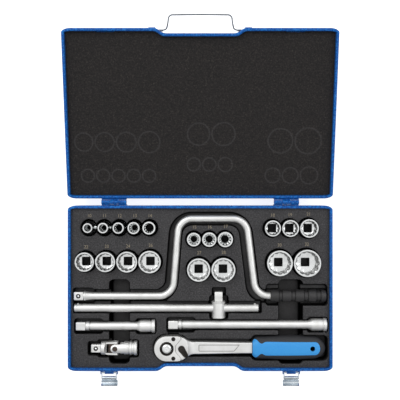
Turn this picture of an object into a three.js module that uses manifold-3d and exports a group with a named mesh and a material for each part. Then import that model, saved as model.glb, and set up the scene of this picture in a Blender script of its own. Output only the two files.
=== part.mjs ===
// A socket wrench set in its folding steel case: nineteen twelve-point sockets and 12.7 mm drive tools in a
// formed tray. Millimetres, +Z up. The origin is the centre of the base's underside and +Y points to the
// hinges. The case stands open as it is used, and every tool lies in its pocket.
import * as THREE from 'three';
import { mergeVertices } from 'three/addons/utils/BufferGeometryUtils.js';
import Module from 'manifold-3d';

const wasm = await Module();
wasm.setup();

const degrees = Math.PI / 180;

// Clearances
const seatGap = 0.3; // between two pieces that touch
const cutExtra = 2; // how far a cut runs past the face that it opens

// Case of folded steel sheet
const baseHeight = 42;
const lidHeight = 18;
const sheet = 1;
const hemWidth = 4.7; // rolled rim, seen from above
const cornerAcross = 14;
const cornerAlong = 7;
const recessMouth = 131; // bay in the front that the handle folds into
const recessFloor = 111;
const recessDepth = 7.7;
const openAngle = 168; // the lid stops short of lying flat

// Hinges
const hingeStandoff = 5.3; // axis behind the back wall
const hingeInset = 73; // from the case's side to the middle of a hinge
const hingeLength = 39;
const hingeKnuckle = 3.2;
const hingePin = 1.3;
const leafThickness = 1.2;
const leafReach = 17; // from the axis to the far edge of a leaf

// Carrying handle, a bent steel strap
const handleGrip = 83;
const handleNeck = 100; // width where the legs meet the recess
const handleReach = 26;
const handleStrap = 2;
const handleWidth = 12;
const handlePin = 2;
const handleInset = 3.6; // pivot behind the front face

// Toggle latches
const latchInset = 64; // from the case's side to the middle of a latch
const latchWidth = 27;
const latchPivotHeight = 30;
const latchPivotOut = 4.5;
const latchLink = 8;
const latchReach = 11.5; // lever from its pivot to its lip
const latchPin = 1.2;
const latchPlate = 1.2;
const latchHook = 2.4; // how far the lip enters the lid's slot
const latchDroop = 30; // how far the lever hangs below the link at rest
const slotWidth = 23;
const slotHeight = 4;
const slotRoom = 0.6; // below the lever's lip
const foamNotch = 32;
const foamNotchDepth = 6;

// Lining
const trayDrop = 7; // tray surface below the base's rim
const trayWall = 1;
const foamDrop = 7.3; // foam surface inside the lid's rim
const pocketRound = 5;
const toolRound = 3; // corner of a pocket round a lying tool
const wellGap = 3; // around a socket
const snugGap = 1.6; // around a tool that is held
const looseGap = 4; // where fingers reach beside a tool
const toolAxis = 30; // height of the axis of every lying tool
const sideMargin = 8.5; // from the case's side to the ends of the long tools
const fingerFloor = 12;
const fingerFront = 10.7; // from the front to the channels that fingers reach into
const fingerBeyond = 26; // how far the channels run past the brace's shaft
const fingerChannels = [
  { side: -1, margin: 67.4, width: 28.7 },
  { side: 1, margin: 50.8, width: 33.3 },
];

// 12.7 mm square drive
const drive = 12.7;
const driveLength = 15;
const driveGap = 0.25;
const driveDepth = 15;
const driveEdge = 1;
const driveRelief = 0.1; // corner of a square hole
const ballRadius = 2.2;
const ballRise = 0.8; // stands proud and can be pressed in flush

// Sockets
const socketTop = 49; // all mouths end level, just below the lid's foam
const socketLength = 38;
const socketGrowth = 0.6; // extra length for each size above socketGrowthFrom
const socketGrowthFrom = 19;
const socketDriveEnd = 22.4;
const socketWall = 1.5;
const socketFlare = 1.24; // outer diameter for each millimetre of size
const socketGap = 1.5;
const socketFaces = 18;
// A row by the left or right side stands margin away from it, and a middle row is margin off the case's middle.
// back is the way from the case's back to the row.
const socketRows = [
  { sizes: [10, 11, 12, 13, 14], side: -1, margin: 20.5, back: 35.2 },
  { sizes: [22, 23, 24, 26], side: -1, margin: 11.6, back: 88.2 },
  { sizes: [15, 16, 17], side: 0, margin: 15, back: 53.1 },
  { sizes: [27, 28], side: 0, margin: 17.2, back: 100.6 },
  { sizes: [18, 19, 21], side: 1, margin: 22.6, back: 35.8 },
  { sizes: [30, 32], side: 1, margin: 18.7, back: 90.2 },
];

// Speed brace
const backMargin = 20.5; // from the back of the case to the crank's far run
const crankThrow = 122.5; // from there to the shaft and the grip
const braceRadius = 5.75;
const braceBend = 20;
const braceCrankLow = [-43.5, 88]; // x of the crank's legs at the shaft
const braceCrankHigh = [-33.5, 73]; // x of the crank's legs at its far run
const braceCollar = 7.6;
const braceTaper = 16; // from the square to the bare rod
const braceGripLength = 88.5;
const braceGripRadius = 10;
const braceGripGrooves = 4;
const braceGripPocket = 35;
const braceGripShift = 2; // the pocket's middle lies behind the grip's axis

// Sliding T-handle
const barPitch = 19.3; // from the brace's shaft to the bar
const barLength = 292;
const barRadius = 6.25;
const stopRise = 1.2; // balls near the bar's ends keep the slider on
const sliderAlong = 228.5; // from the bar's left end
const sliderLength = 26;
const sliderRadius = 9.75;
const sliderOffset = 2.5; // the slider's body reaches further behind the bar

// Extensions
const extensionRadius = 6.6;
const extensionHead = 11;
const extensionHeadLength = 23;
const extensionCollar = 0.8; // collar behind the square, above the bar
const extensionRoom = 1.7; // lets the bar be tipped out of its pocket
const extensionTaper = 7; // cone between the bar and the head
const shortMargin = 11.8;
const shortLength = 125;
const extensionGap = 20.7;
const longLength = 250;
const extensionPitch = 26.1; // from the T-bar to the long extension
const shortStep = 2.2; // the short extension lies a little further forward

// Universal joint
const jointMargin = 36; // from the case's side to the tip of its square
const jointStep = 1; // it lies a little in front of the ratchet's axis
const jointRadius = 11.7;
const jointThroat = 14; // from the pivot to each yoke's root
const jointEar = 6.4; // ear beyond the pivot
const jointGap = 7.6; // half the space between two ears
const jointCube = 7.1; // half the cube's edge
const jointPin = 3;
const jointDriveRoot = 9;
const jointSocketLength = 20.5;
const jointRoom = 3; // lets the yokes swing a little in their pocket

// Ratchet
const ratchetPitch = 36.1; // from the long extension to the ratchet's axis
const ratchetMargin = 35.5; // from there to the front of the case
const ratchetReach = 134.5; // from the centre of the head to the grip
const ratchetHead = 20.5;
const ratchetThickness = 18;
const ratchetNeck = 37; // from the head's centre to the shank
const ratchetShank = 21;
const ratchetShankEnd = 17;
const ratchetShankThickness = 14;
const ratchetTang = 6;
const ratchetTangLength = 30;
const ratchetTop = 43.2; // top face of the head
const ratchetCover = 1.8;
const ratchetWheel = 10.7;
const ratchetButton = 7.8;
const ratchetButtonRise = 1.6;
const ratchetButtonTravel = 2.5;
const ratchetButtonSeat = 2; // how deep the button sits in the wheel at rest
const ratchetLeverX = 26; // lever's pivot in front of the head's centre
const ratchetLeverLength = 14;
const ratchetLeverAngle = -50;
const ratchetLeverHeight = 3;
const ratchetScrew = 3;
const ratchetScrewX = 10.5;
const ratchetScrewY = 15.2;
const gripLength = 117.5;
const gripHalfWidth = 19;
const gripHalfHeight = 14;
const gripSides = 16;
const gripHole = 3.6;
const gripHoleFromEnd = 21.5;
const inlayMargin = 3.4;
const inlayDepth = 6;

// Sizes and places that follow. The case is as wide as its longest row of tools and as deep as all its rows.
const caseWidth = shortMargin + shortLength + extensionGap + longLength + sideMargin;
const caseDepth = backMargin + crankThrow + barPitch + extensionPitch + ratchetPitch + ratchetMargin;
const braceLine = caseDepth / 2 - backMargin - crankThrow;
const braceTop = braceLine + crankThrow;
const braceStart = sideMargin - caseWidth / 2;
const braceEnd = caseWidth / 2 - sideMargin;
const barLine = braceLine - barPitch;
const barStart = braceStart;
const sliderX = barStart + sliderAlong;
const longLine = barLine - extensionPitch;
const longStart = caseWidth / 2 - sideMargin - longLength;
const shortLine = longLine - shortStep;
const shortStart = shortMargin - caseWidth / 2;
const ratchetLine = longLine - ratchetPitch;
const gripStart = caseWidth / 2 - sideMargin - gripLength;
const ratchetX = gripStart - ratchetReach;
const jointLine = ratchetLine - jointStep;
const jointX = jointMargin - caseWidth / 2 + driveLength + jointDriveRoot + jointThroat;
const hingeX = caseWidth / 2 - hingeInset;
const latchX = caseWidth / 2 - latchInset;
const hingeY = caseDepth / 2 + hingeStandoff;
const hingeZ = baseHeight + seatGap / 2;
const lidRim = baseHeight + seatGap;
const lidTop = lidRim + lidHeight;
const trayTop = baseHeight - trayDrop;
const foamFace = lidRim + foamDrop;
const latchLip = latchPivotOut + latchHook;
const frontFace = -caseDepth / 2;
const handlePivotY = frontFace + handleInset;
const handlePivotZ = (lidRim + lidTop) / 2;
const buttonHeight = ratchetButtonTravel + ratchetButtonSeat + seatGap;
const slantAngle = Math.atan2(recessDepth, (recessMouth - recessFloor) / 2);
const handleFoot = recessMouth / 2 - handleInset / Math.tan(slantAngle); // where a foot meets the bay's side

// Finishes
const paint = { color: 0x0b57a8, roughness: 0.45, metalness: 0.1 };
const chrome = { color: 0xd4d6d8, roughness: 0.25, metalness: 1 };
const satin = { color: 0xb9bcbf, roughness: 0.4, metalness: 1 };
const zinc = { color: 0xa9adb2, roughness: 0.45, metalness: 1 };
const trayPlastic = { color: 0x3b3a3c, roughness: 0.8, metalness: 0 };
const foamBlack = { color: 0x2b2828, roughness: 0.95, metalness: 0 };
const gripGrey = { color: 0x3f444b, roughness: 0.7, metalness: 0 };
const gripBlue = { color: 0x2f86e0, roughness: 0.5, metalness: 0 };
const blackRubber = { color: 0x2a2a2b, roughness: 0.7, metalness: 0 };
const blackSteel = { color: 0x26282b, roughness: 0.5, metalness: 0.8 };

// Welds a three.js geometry into a solid for joining and cutting, with its faces pointing out.
function solid(geometry) {
  const bare = geometry.index ? geometry.toNonIndexed() : geometry.clone();
  bare.deleteAttribute('normal');
  bare.deleteAttribute('uv');
  const welded = mergeVertices(bare, 1e-4);
  const points = welded.attributes.position.array;
  const corners = welded.index.array;
  const faces = [];
  let volume = 0;
  for (let i = 0; i < corners.length; i += 3) {
    const [a, b, c] = corners.slice(i, i + 3);
    if (a === b || b === c || c === a) continue;
    faces.push(a, b, c);
    const [p, q, r] = [a, b, c].map((k) => new THREE.Vector3().fromArray(points, 3 * k));
    volume += p.dot(q.cross(r));
  }
  if (volume < 0) faces.reverse();
  const vertProperties = new Float32Array(points);
  return new wasm.Manifold(new wasm.Mesh({ numProp: 3, vertProperties, triVerts: new Uint32Array(faces) }));
}

function joined(...pieces) {
  return pieces.reduce((sum, piece) => sum.add(piece));
}

function cut(body, ...tools) {
  return tools.reduce((rest, tool) => rest.subtract(tool), body);
}

const axisX = new THREE.Vector3(1, 0, 0);
const axisY = new THREE.Vector3(0, 1, 0);
const axisZ = new THREE.Vector3(0, 0, 1);
const turnToX = new THREE.Matrix4().makeBasis(axisY, axisZ, axisX); // a shape's plane becomes YZ
const turnToY = new THREE.Matrix4().makeBasis(axisZ, axisX, axisY); // a shape's plane becomes ZX

function box(x0, x1, y0, y1, z0, z1) {
  const geometry = new THREE.BoxGeometry(x1 - x0, y1 - y0, z1 - z0);
  return solid(geometry.translate((x0 + x1) / 2, (y0 + y1) / 2, (z0 + z1) / 2));
}

function extrusion(shape, from, to, curveSegments = 2) {
  const options = { depth: to - from, bevelEnabled: false, curveSegments };
  const geometry = new THREE.ExtrudeGeometry(shape, options);
  return geometry.translate(0, 0, from);
}

// A flat shape drawn in XY and raised along Z.
function prism(shape, z0, z1, curveSegments) {
  return solid(extrusion(shape, z0, z1, curveSegments));
}

// A flat shape drawn in YZ and drawn out along X.
function prismAlongX(shape, x0, x1, curveSegments) {
  return solid(extrusion(shape, x0, x1, curveSegments).applyMatrix4(turnToX));
}

function outline(points) {
  return new THREE.Shape(points.map(([x, y]) => new THREE.Vector2(x, y)));
}

function roundOutline(x0, x1, y0, y1, radius) {
  const shape = new THREE.Shape();
  shape.absarc(x1 - radius, y0 + radius, radius, -Math.PI / 2, 0);
  shape.absarc(x1 - radius, y1 - radius, radius, 0, Math.PI / 2);
  shape.absarc(x0 + radius, y1 - radius, radius, Math.PI / 2, Math.PI);
  shape.absarc(x0 + radius, y0 + radius, radius, Math.PI, 1.5 * Math.PI);
  return shape;
}

function regularOutline(radius, sides, phase = 0) {
  const points = [];
  for (let i = 0; i < sides; i += 1) {
    const angle = phase + (2 * Math.PI * i) / sides;
    points.push([radius * Math.cos(angle), radius * Math.sin(angle)]);
  }
  return outline(points);
}

// Solids of revolution. The profile is a list of [radius, distance along the axis].
function turned(profile, segments) {
  const points = profile.map(([radius, along]) => new THREE.Vector2(radius, along));
  return new THREE.LatheGeometry(points, segments).rotateX(Math.PI / 2);
}

function turnedZ(profile, segments = 16) {
  return solid(turned(profile, segments));
}

function turnedX(profile, segments = 16) {
  return solid(turned(profile, segments).applyMatrix4(turnToX));
}

function turnedY(profile, segments = 16) {
  return solid(turned(profile, segments).applyMatrix4(turnToY));
}

function rodProfile(radius, from, to) {
  return [[0, from], [radius, from], [radius, to], [0, to]];
}

// A line of stations with each corner rounded into an arc.
function bentLine(corners, radius, steps) {
  const stations = [corners[0]];
  for (let i = 1; i < corners.length - 1; i += 1) {
    const toBack = corners[i - 1].clone().sub(corners[i]).normalize();
    const toNext = corners[i + 1].clone().sub(corners[i]).normalize();
    const half = toBack.angleTo(toNext) / 2;
    const centre = toBack.clone().add(toNext).setLength(radius / Math.sin(half)).add(corners[i]);
    const first = corners[i].clone().addScaledVector(toBack, radius / Math.tan(half)).sub(centre);
    const last = corners[i].clone().addScaledVector(toNext, radius / Math.tan(half)).sub(centre);
    const sweep = first.angleTo(last);
    for (let k = 0; k <= steps; k += 1) {
      const station = first.clone().multiplyScalar(Math.sin((1 - k / steps) * sweep));
      station.addScaledVector(last, Math.sin((k / steps) * sweep)).divideScalar(Math.sin(sweep));
      stations.push(station.add(centre));
    }
  }
  stations.push(corners[corners.length - 1]);
  return stations;
}

// A curve whose equal steps fall on given stations, so that straight runs take one step.
class StationCurve extends THREE.Curve {
  constructor(stations) {
    super();
    this.stations = stations;
  }

  getPoint(t, target = new THREE.Vector3()) {
    const place = t * (this.stations.length - 1);
    const i = Math.min(Math.floor(place), this.stations.length - 2);
    return target.lerpVectors(this.stations[i], this.stations[i + 1], place - i);
  }

  getUtoTmapping(u) {
    return u;
  }
}

// Sweeps a section along stations in the XY plane. The section's x points down and its y sideways.
function swept(stations, section) {
  const extrudePath = new StationCurve(stations);
  return solid(new THREE.ExtrudeGeometry(section, { steps: stations.length - 1, extrudePath }));
}

// Skins equal rings of points and closes both ends.
function lofted(rings) {
  const size = rings[0].length;
  const points = rings.flat();
  const faces = [];
  for (let r = 0; r < rings.length - 1; r += 1) {
    for (let i = 0; i < size; i += 1) {
      const a = r * size + i;
      const b = r * size + ((i + 1) % size);
      faces.push(a, b, b + size, a, b + size, a + size);
    }
  }
  const last = (rings.length - 1) * size;
  for (let i = 1; i < size - 1; i += 1) {
    faces.push(0, i + 1, i, last, last + i, last + i + 1);
  }
  const geometry = new THREE.BufferGeometry().setFromPoints(points);
  geometry.setIndex(faces);
  return solid(geometry);
}

function addPart(parent, name, body, finish) {
  const mesh = body.getMesh();
  const geometry = new THREE.BufferGeometry();
  geometry.setAttribute('position', new THREE.BufferAttribute(mesh.vertProperties, 3));
  geometry.setIndex(new THREE.BufferAttribute(mesh.triVerts, 1));
  geometry.computeVertexNormals();
  const part = new THREE.Mesh(geometry, new THREE.MeshStandardMaterial(finish));
  part.name = name;
  parent.add(part);
  return part;
}

function addFrame(parent, x, y, z, turn = 0) {
  const frame = new THREE.Group();
  frame.position.set(x, y, z);
  frame.rotation.x = turn;
  parent.add(frame);
  return frame;
}

// The case's plan with its elliptical corners and the bay in its front, set in all round.
function casePlan(inset) {
  const x = caseWidth / 2 - inset;
  const y = caseDepth / 2 - inset;
  const across = cornerAcross - inset;
  const along = cornerAlong - inset;
  const slant = inset * Math.tan(slantAngle / 2);
  const shape = new THREE.Shape();
  shape.moveTo(-recessMouth / 2 - slant, -y);
  shape.lineTo(-recessFloor / 2 - slant, recessDepth - y);
  shape.lineTo(recessFloor / 2 + slant, recessDepth - y);
  shape.lineTo(recessMouth / 2 + slant, -y);
  shape.absellipse(x - across, along - y, across, along, -Math.PI / 2, 0);
  shape.absellipse(x - across, y - along, across, along, 0, Math.PI / 2);
  shape.absellipse(across - x, y - along, across, along, Math.PI / 2, Math.PI);
  shape.absellipse(across - x, along - y, across, along, Math.PI, 1.5 * Math.PI);
  return shape;
}

// An open box of sheet with its rim rolled inwards. The rim is up and the floor at zero.
function caseShell(height, lipReach) {
  const inside = prism(casePlan(sheet), sheet, height - sheet);
  const mouth = prism(casePlan(hemWidth), height - sheet - cutExtra, height + cutExtra);
  const walls = cut(prism(casePlan(0), 0, height), inside, mouth);
  const lipOutside = prism(casePlan(hemWidth - sheet), height - lipReach, height - sheet / 2);
  const lipInside = prism(casePlan(hemWidth), height - lipReach - cutExtra, height + cutExtra);
  return joined(walls, cut(lipOutside, lipInside));
}

function caseLid() {
  const shell = caseShell(lidHeight, foamDrop - seatGap).rotate([0, 180, 0]).translate([0, 0, lidTop]);
  const cuts = [];
  for (const side of [-1, 1]) {
    const x = side * latchX;
    const slotZ = latchPivotHeight + latchLink + latchReach - latchPlate - slotRoom;
    cuts.push(box(x - slotWidth / 2, x + slotWidth / 2, frontFace - cutExtra, frontFace + 2 * sheet,
      slotZ, slotZ + slotHeight));
    const bore = rodProfile(handlePin + seatGap, handleFoot - 2 * handlePin, handleFoot + 3 * sheet);
    const hole = turnedX(bore, 10);
    const placed = hole.translate([0, handlePivotY, handlePivotZ]);
    cuts.push(side > 0 ? placed : placed.mirror([1, 0, 0]));
  }
  return cut(shell, ...cuts);
}

// The foam pad fills the lid's top and is notched behind the latch slots.
function lidFoam() {
  const pad = prism(casePlan(sheet + seatGap), foamFace, lidTop - sheet - seatGap);
  const notches = [-1, 1].map((side) => {
    const x = side * latchX;
    return box(x - foamNotch / 2, x + foamNotch / 2, frontFace - cutExtra,
      frontFace + foamNotchDepth, foamFace - cutExtra, lidTop);
  });
  const footY = handlePivotY + handlePin + seatGap;
  const feet = box(-recessMouth / 2 - sheet, recessMouth / 2 + sheet, frontFace, footY, 0, lidTop);
  return cut(pad, feet, ...notches);
}

// Half of a hinge. The leaf lies on the back wall and its knuckles wrap the pin. turned up for the lid.
function hingeLeaf(knuckles, upward) {
  const plateY = seatGap - hingeStandoff;
  const leaf = box(-hingeLength / 2, hingeLength / 2, plateY, plateY + leafThickness,
    -leafReach, -hingeKnuckle);
  const arm = outline([
    [plateY, -hingeKnuckle - 2], [plateY + leafThickness, -hingeKnuckle - 2],
    [0.5 * hingeKnuckle, -0.8 * hingeKnuckle], [0, 0], [-0.8 * hingeKnuckle, 0], [plateY, -hingeKnuckle],
  ]);
  const bore = turnedX(rodProfile(hingePin + seatGap, -hingeLength, hingeLength), 8);
  const wraps = knuckles.map(([from, to]) => {
    const ring = turnedX(rodProfile(hingeKnuckle, from, to), 10);
    return joined(ring, prismAlongX(arm, from, to));
  });
  const half = cut(joined(leaf, ...wraps), bore);
  return upward ? half.mirror([0, 0, 1]) : half;
}

function addHinge(base, lid, side, label) {
  const third = hingeLength / 3;
  const edge = hingeLength / 2;
  const x = side * hingeX;
  const outer = [[-edge, -third / 2 - seatGap], [third / 2 + seatGap, edge]];
  const inner = [[-third / 2, third / 2]];
  const fixedLeaf = hingeLeaf(outer, false).translate([x, hingeY, hingeZ]);
  addPart(base, `hinge_base_leaf_${label}`, fixedLeaf, paint);
  const swingLeaf = hingeLeaf(inner, true).translate([x, hingeY, hingeZ]);
  addPart(lid, `hinge_lid_leaf_${label}`, swingLeaf, paint);
  const pin = turnedX(rodProfile(hingePin, -edge, edge), 8).translate([x, hingeY, hingeZ]);
  addPart(base, `hinge_pin_${label}`, pin, zinc);
}

// The strap handle, drawn about its pivot and pointing out of the lid.
function carryHandle() {
  const gripHalf = handleGrip / 2 + handleStrap;
  const reach = handleReach - handleStrap / 2;
  const half = [
    new THREE.Vector3(handleFoot - 3.5, 0, 0),
    new THREE.Vector3(handleNeck / 2, -handleInset - 1.5, 0),
    new THREE.Vector3(gripHalf, -reach, 0),
  ];
  const mirrored = half.map((point) => new THREE.Vector3(-point.x, point.y, 0)).reverse();
  const strap = outline([
    [-handleWidth / 2, -handleStrap / 2], [handleWidth / 2, -handleStrap / 2],
    [handleWidth / 2, handleStrap / 2], [-handleWidth / 2, handleStrap / 2],
  ]);
  const bail = swept(bentLine([...half, ...mirrored], 3.5, 3), strap);
  const taper = outline([
    [handlePin, -handlePin], [handlePin, handlePin], [-handleInset, handlePin],
    [-handleInset - 6, handleWidth / 2], [-handleReach - 1, handleWidth / 2],
    [-handleReach - 1, -handleWidth / 2], [-handleInset - 6, -handleWidth / 2], [-handleInset, -handlePin],
  ]);
  const shaped = bail.intersect(prismAlongX(taper, -caseWidth / 2, caseWidth / 2));
  const pin = turnedX(rodProfile(handlePin, handleFoot - 5, handleFoot + 1.8), 10);
  return joined(shaped, pin, pin.mirror([1, 0, 0]));
}

// Latch bracket: a plate on the front wall with two pierced ears.
function latchBracket() {
  const half = latchWidth / 2;
  const wallY = latchPivotOut - seatGap;
  const plate = box(-half, half, wallY - latchPlate, wallY, -9, 7);
  const ear = outline([
    [wallY - latchPlate / 2, -6], [wallY - latchPlate / 2, 5], [0, 2.8], [-2.2, 1.6], [-2.8, 0],
    [-2.2, -1.6], [0, -2.8],
  ]);
  const ears = [-half, half - latchPlate].map((x) => prismAlongX(ear, x, x + latchPlate));
  const bore = turnedX(rodProfile(latchPin + seatGap, -latchWidth, latchWidth), 8);
  return cut(joined(plate, ...ears), bore);
}

// Latch link: two arms on an axle, drawn about the axle and pointing out of the case.
function latchLinkPiece() {
  const inner = latchWidth / 2 - latchPlate - seatGap;
  const half = 2 * latchPin;
  const far = latchLink + half + 0.2;
  const arm = outline([
    [half / 3, -half], [half, 0], [half / 3, half], [-latchLink - latchPin, half], [-far, 0],
    [-latchLink - latchPin, -half],
  ]);
  const bore = turnedX(rodProfile(latchPin + seatGap, -inner - 1, inner + 1), 8);
  const arms = [-inner, inner - latchPlate].map((x) => {
    return cut(prismAlongX(arm, x, x + latchPlate), bore.translate([0, -latchLink, 0]));
  });
  const axle = turnedX(rodProfile(latchPin, -latchWidth / 2, latchWidth / 2), 8);
  return joined(axle, ...arms);
}

// Latch lever: a plate with a rolled lip, on its own axle between the link's arms.
function latchLever() {
  const axleHalf = latchWidth / 2 - latchPlate - seatGap;
  const half = axleHalf - latchPlate - seatGap;
  const thick = latchPlate / 2;
  const lip = latchPlate - latchReach;
  const curl = outline([
    [1.4, -latchPin], [1.4, latchPin], [-1.4, latchPin], [-3, thick], [lip, thick], [lip, latchLip],
    [-latchReach, latchLip], [-latchReach, -thick], [-3, -thick], [-1.4, -latchPin],
  ]);
  const plate = prismAlongX(curl, -half, half);
  const axle = turnedX(rodProfile(latchPin, -axleHalf, axleHalf), 8);
  return joined(plate, axle);
}

function addLatch(base, side, label) {
  const x = side * latchX;
  const mount = addFrame(base, x, frontFace - latchPivotOut, latchPivotHeight);
  addPart(mount, `latch_bracket_${label}`, latchBracket(), paint);
  const link = addFrame(mount, 0, 0, 0);
  addPart(link, `latch_link_${label}`, latchLinkPiece(), zinc);
  const lever = addFrame(link, 0, -latchLink, 0, latchDroop * degrees);
  addPart(lever, `latch_lever_${label}`, latchLever(), zinc);
}

// Sizes of one socket, all from its nominal size.
function socketSizes(size) {
  const mouth = 2 * socketWall + socketFlare * size;
  const length = socketLength + socketGrowth * Math.max(0, size - socketGrowthFrom);
  const driveEnd = Math.max(socketDriveEnd, mouth - 0.3 * Math.max(0, mouth - socketDriveEnd));
  return { size, mouth, length, driveEnd, widest: Math.max(mouth, driveEnd) };
}

// The sockets of a row stand side by side.
function placeSockets() {
  const placed = [];
  for (const row of socketRows) {
    const members = row.sizes.map(socketSizes);
    const widths = members.map((member) => member.widest + socketGap);
    const length = widths.reduce((sum, width) => sum + width);
    const anchor = row.side ? row.side * (caseWidth / 2 - row.margin) : row.margin;
    let x = anchor - ((1 + row.side) / 2) * length;
    members.forEach((member, i) => {
      placed.push({ ...member, x: x + widths[i] / 2, y: caseDepth / 2 - row.back });
      x += widths[i];
    });
  }
  return placed;
}

const sockets = placeSockets();

// Two hexagons turned against each other, as a twelve-point wrench opening has.
function twelvePoint(size) {
  const points = [];
  for (let i = 0; i < 24; i += 1) {
    const angle = i * 15 * degrees;
    const radius = size / 2 / Math.cos((i % 2 ? 15 : 30) * degrees);
    points.push([radius * Math.cos(angle), radius * Math.sin(angle)]);
  }
  return outline(points);
}

function squareOutline(width, edge) {
  const half = width / 2;
  return outline([
    [-half + edge, -half], [half - edge, -half], [half, -half + edge], [half, half - edge],
    [half - edge, half], [-half + edge, half], [-half, half - edge], [-half, -half + edge],
  ]);
}

// One socket stands on its drive end with its mouth up.
function socketBody({ size, mouth, length, driveEnd }) {
  const collar = driveDepth + 1;
  const depth = length - collar - 4;
  const body = turnedZ([
    [0, 0], [driveEnd / 2, 0], [driveEnd / 2, collar],
    [mouth / 2, collar + 5], [mouth / 2, length - 1], [mouth / 2 - 1, length], [0, length],
  ], socketFaces);
  const wrench = prism(twelvePoint(size), length - depth, length + cutExtra);
  const square = prism(squareOutline(drive + driveGap, driveRelief), -cutExtra, driveDepth);
  const throat = Math.min(drive, size * 0.9) / 2;
  const through = turnedZ(rodProfile(throat, driveDepth - 1, length - depth + 1), 8);
  return cut(body, wrench, square, through);
}

// A square drive end that points along -X from its root, with chamfered edges.
function squareDrive(length) {
  const shape = squareOutline(drive - 2 * driveEdge, driveEdge / 2);
  const bar = new THREE.ExtrudeGeometry(shape, {
    depth: length, bevelSize: driveEdge, bevelThickness: driveEdge, bevelSegments: 1,
  });
  return solid(bar.translate(0, 0, -length).applyMatrix4(turnToX));
}

// The crank's rod, bent from the drive collar round to the grip.
function braceStations() {
  const at = (x, y) => new THREE.Vector3(x, y, 0);
  return bentLine([
    at(braceStart + driveLength, braceLine),
    at(braceCrankLow[0], braceLine),
    at(braceCrankHigh[0], braceTop),
    at(braceCrankHigh[1], braceTop),
    at(braceCrankLow[1], braceLine),
    at(braceEnd - 6, braceLine),
  ], braceBend, 3);
}

function braceCrank() {
  const rod = swept(braceStations(), regularOutline(braceRadius, 10));
  const root = braceStart + driveLength;
  const collar = turnedX([
    [0, root - 1], [braceCollar - 1, root - 1], [braceCollar, root + 1], [braceCollar, root + 3],
    [braceRadius, root + braceTaper], [0, root + braceTaper],
  ], 16).translate([0, braceLine, 0]);
  const square = squareDrive(driveLength - driveEdge).translate([root, braceLine, 0]);
  const bore = ballBore().translate([braceStart + driveLength / 2, braceLine, 0]);
  return cut(joined(rod, collar, square), bore);
}

// The bore that a detent ball sits in, deep enough for it to be pressed flush.
function ballBore() {
  const bottom = drive / 2 - 2 * ballRadius - seatGap;
  return turnedZ(rodProfile(ballRadius + seatGap, bottom, drive), 10);
}

// A detent ball that stands a little proud of the square's face.
function detentBall() {
  const steps = 6;
  const profile = [];
  for (let i = 0; i <= steps; i += 1) {
    const angle = (i / steps - 0.5) * Math.PI;
    profile.push([Math.max(0, ballRadius * Math.cos(angle)), ballRadius * Math.sin(angle)]);
  }
  profile[0][0] = 0;
  profile[steps][0] = 0;
  return turnedZ(profile, 10).translate([0, 0, drive / 2 + ballRise - ballRadius]);
}

// The revolving grip of the brace, with turned grooves.
function braceGrip() {
  const start = braceEnd - braceGripLength;
  const pitch = braceGripLength / (braceGripGrooves + 0.6);
  const bore = braceRadius + seatGap;
  const profile = [[0, braceEnd - 5.5], [bore, braceEnd - 5.5], [bore, start], [braceGripRadius - 1, start]];
  profile.push([braceGripRadius, start + 1]);
  for (let i = 1; i <= braceGripGrooves; i += 1) {
    const x = start + i * pitch;
    profile.push([braceGripRadius, x - 3], [braceGripRadius - 1.5, x - 2]);
    profile.push([braceGripRadius - 1.5, x + 2], [braceGripRadius, x + 3]);
  }
  profile.push([braceGripRadius, braceEnd - 2], [braceGripRadius - 2, braceEnd], [0, braceEnd]);
  return turnedX(profile, 12);
}

function tBar() {
  const end = barStart + barLength;
  const bar = turnedX([
    [0, barStart], [barRadius - 1.5, barStart], [barRadius, barStart + 1.5], [barRadius, end - 1.5],
    [barRadius - 1.5, end], [0, end],
  ], 16);
  const tip = barRadius + stopRise;
  const stop = turnedY([[0, 0], [2, 0], [2, tip - 0.8], [1, tip], [0, tip]], 8);
  return joined(bar, stop.translate([barStart + 6, 0, 0]), stop.translate([end - 6, 0, 0]));
}

// The slider that turns the bar into a T: a flanged barrel with a square drive, bored for the bar.
function tSlider() {
  const front = sliderLength / 2 - sliderOffset;
  const back = -sliderLength / 2 - sliderOffset;
  const waist = sliderRadius - 0.8;
  const barrel = turnedY([
    [0, back], [waist, back], [sliderRadius, back + 1], [sliderRadius, back + 3], [waist, back + 4],
    [waist, front - 4], [sliderRadius, front - 3], [sliderRadius, front - 1], [waist, front], [0, front],
  ], 16);
  const turnBack = Math.PI / 2;
  const square = squareDrive(driveLength).rotate([0, 0, -turnBack / degrees]).translate([0, front, 0]);
  const bore = turnedX(rodProfile(barRadius + seatGap, -sliderRadius - 1, sliderRadius + 1), 16);
  return cut(joined(barrel, square), bore);
}

// An extension bar from its square drive to its socketed head.
function extensionBar(length) {
  const head = length - extensionHeadLength;
  const collar = extensionRadius + extensionCollar;
  const bar = turnedX([
    [0, driveLength - 1], [collar - 1, driveLength - 1], [collar, driveLength + 1],
    [extensionRadius, driveLength + 12], [extensionRadius, head - extensionTaper], [extensionHead, head],
    [extensionHead, length - 8], [extensionHead - 0.9, length - 7], [extensionHead - 0.9, length - 5],
    [extensionHead, length - 4], [extensionHead, length - 1], [extensionHead - 1, length], [0, length],
  ], 14);
  const square = squareDrive(driveLength - driveEdge).translate([driveLength, 0, 0]);
  const mouth = squareOutline(drive + driveGap, driveRelief);
  const hole = prismAlongX(mouth, length - driveDepth, length + cutExtra);
  return cut(joined(bar, square), hole);
}

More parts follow.
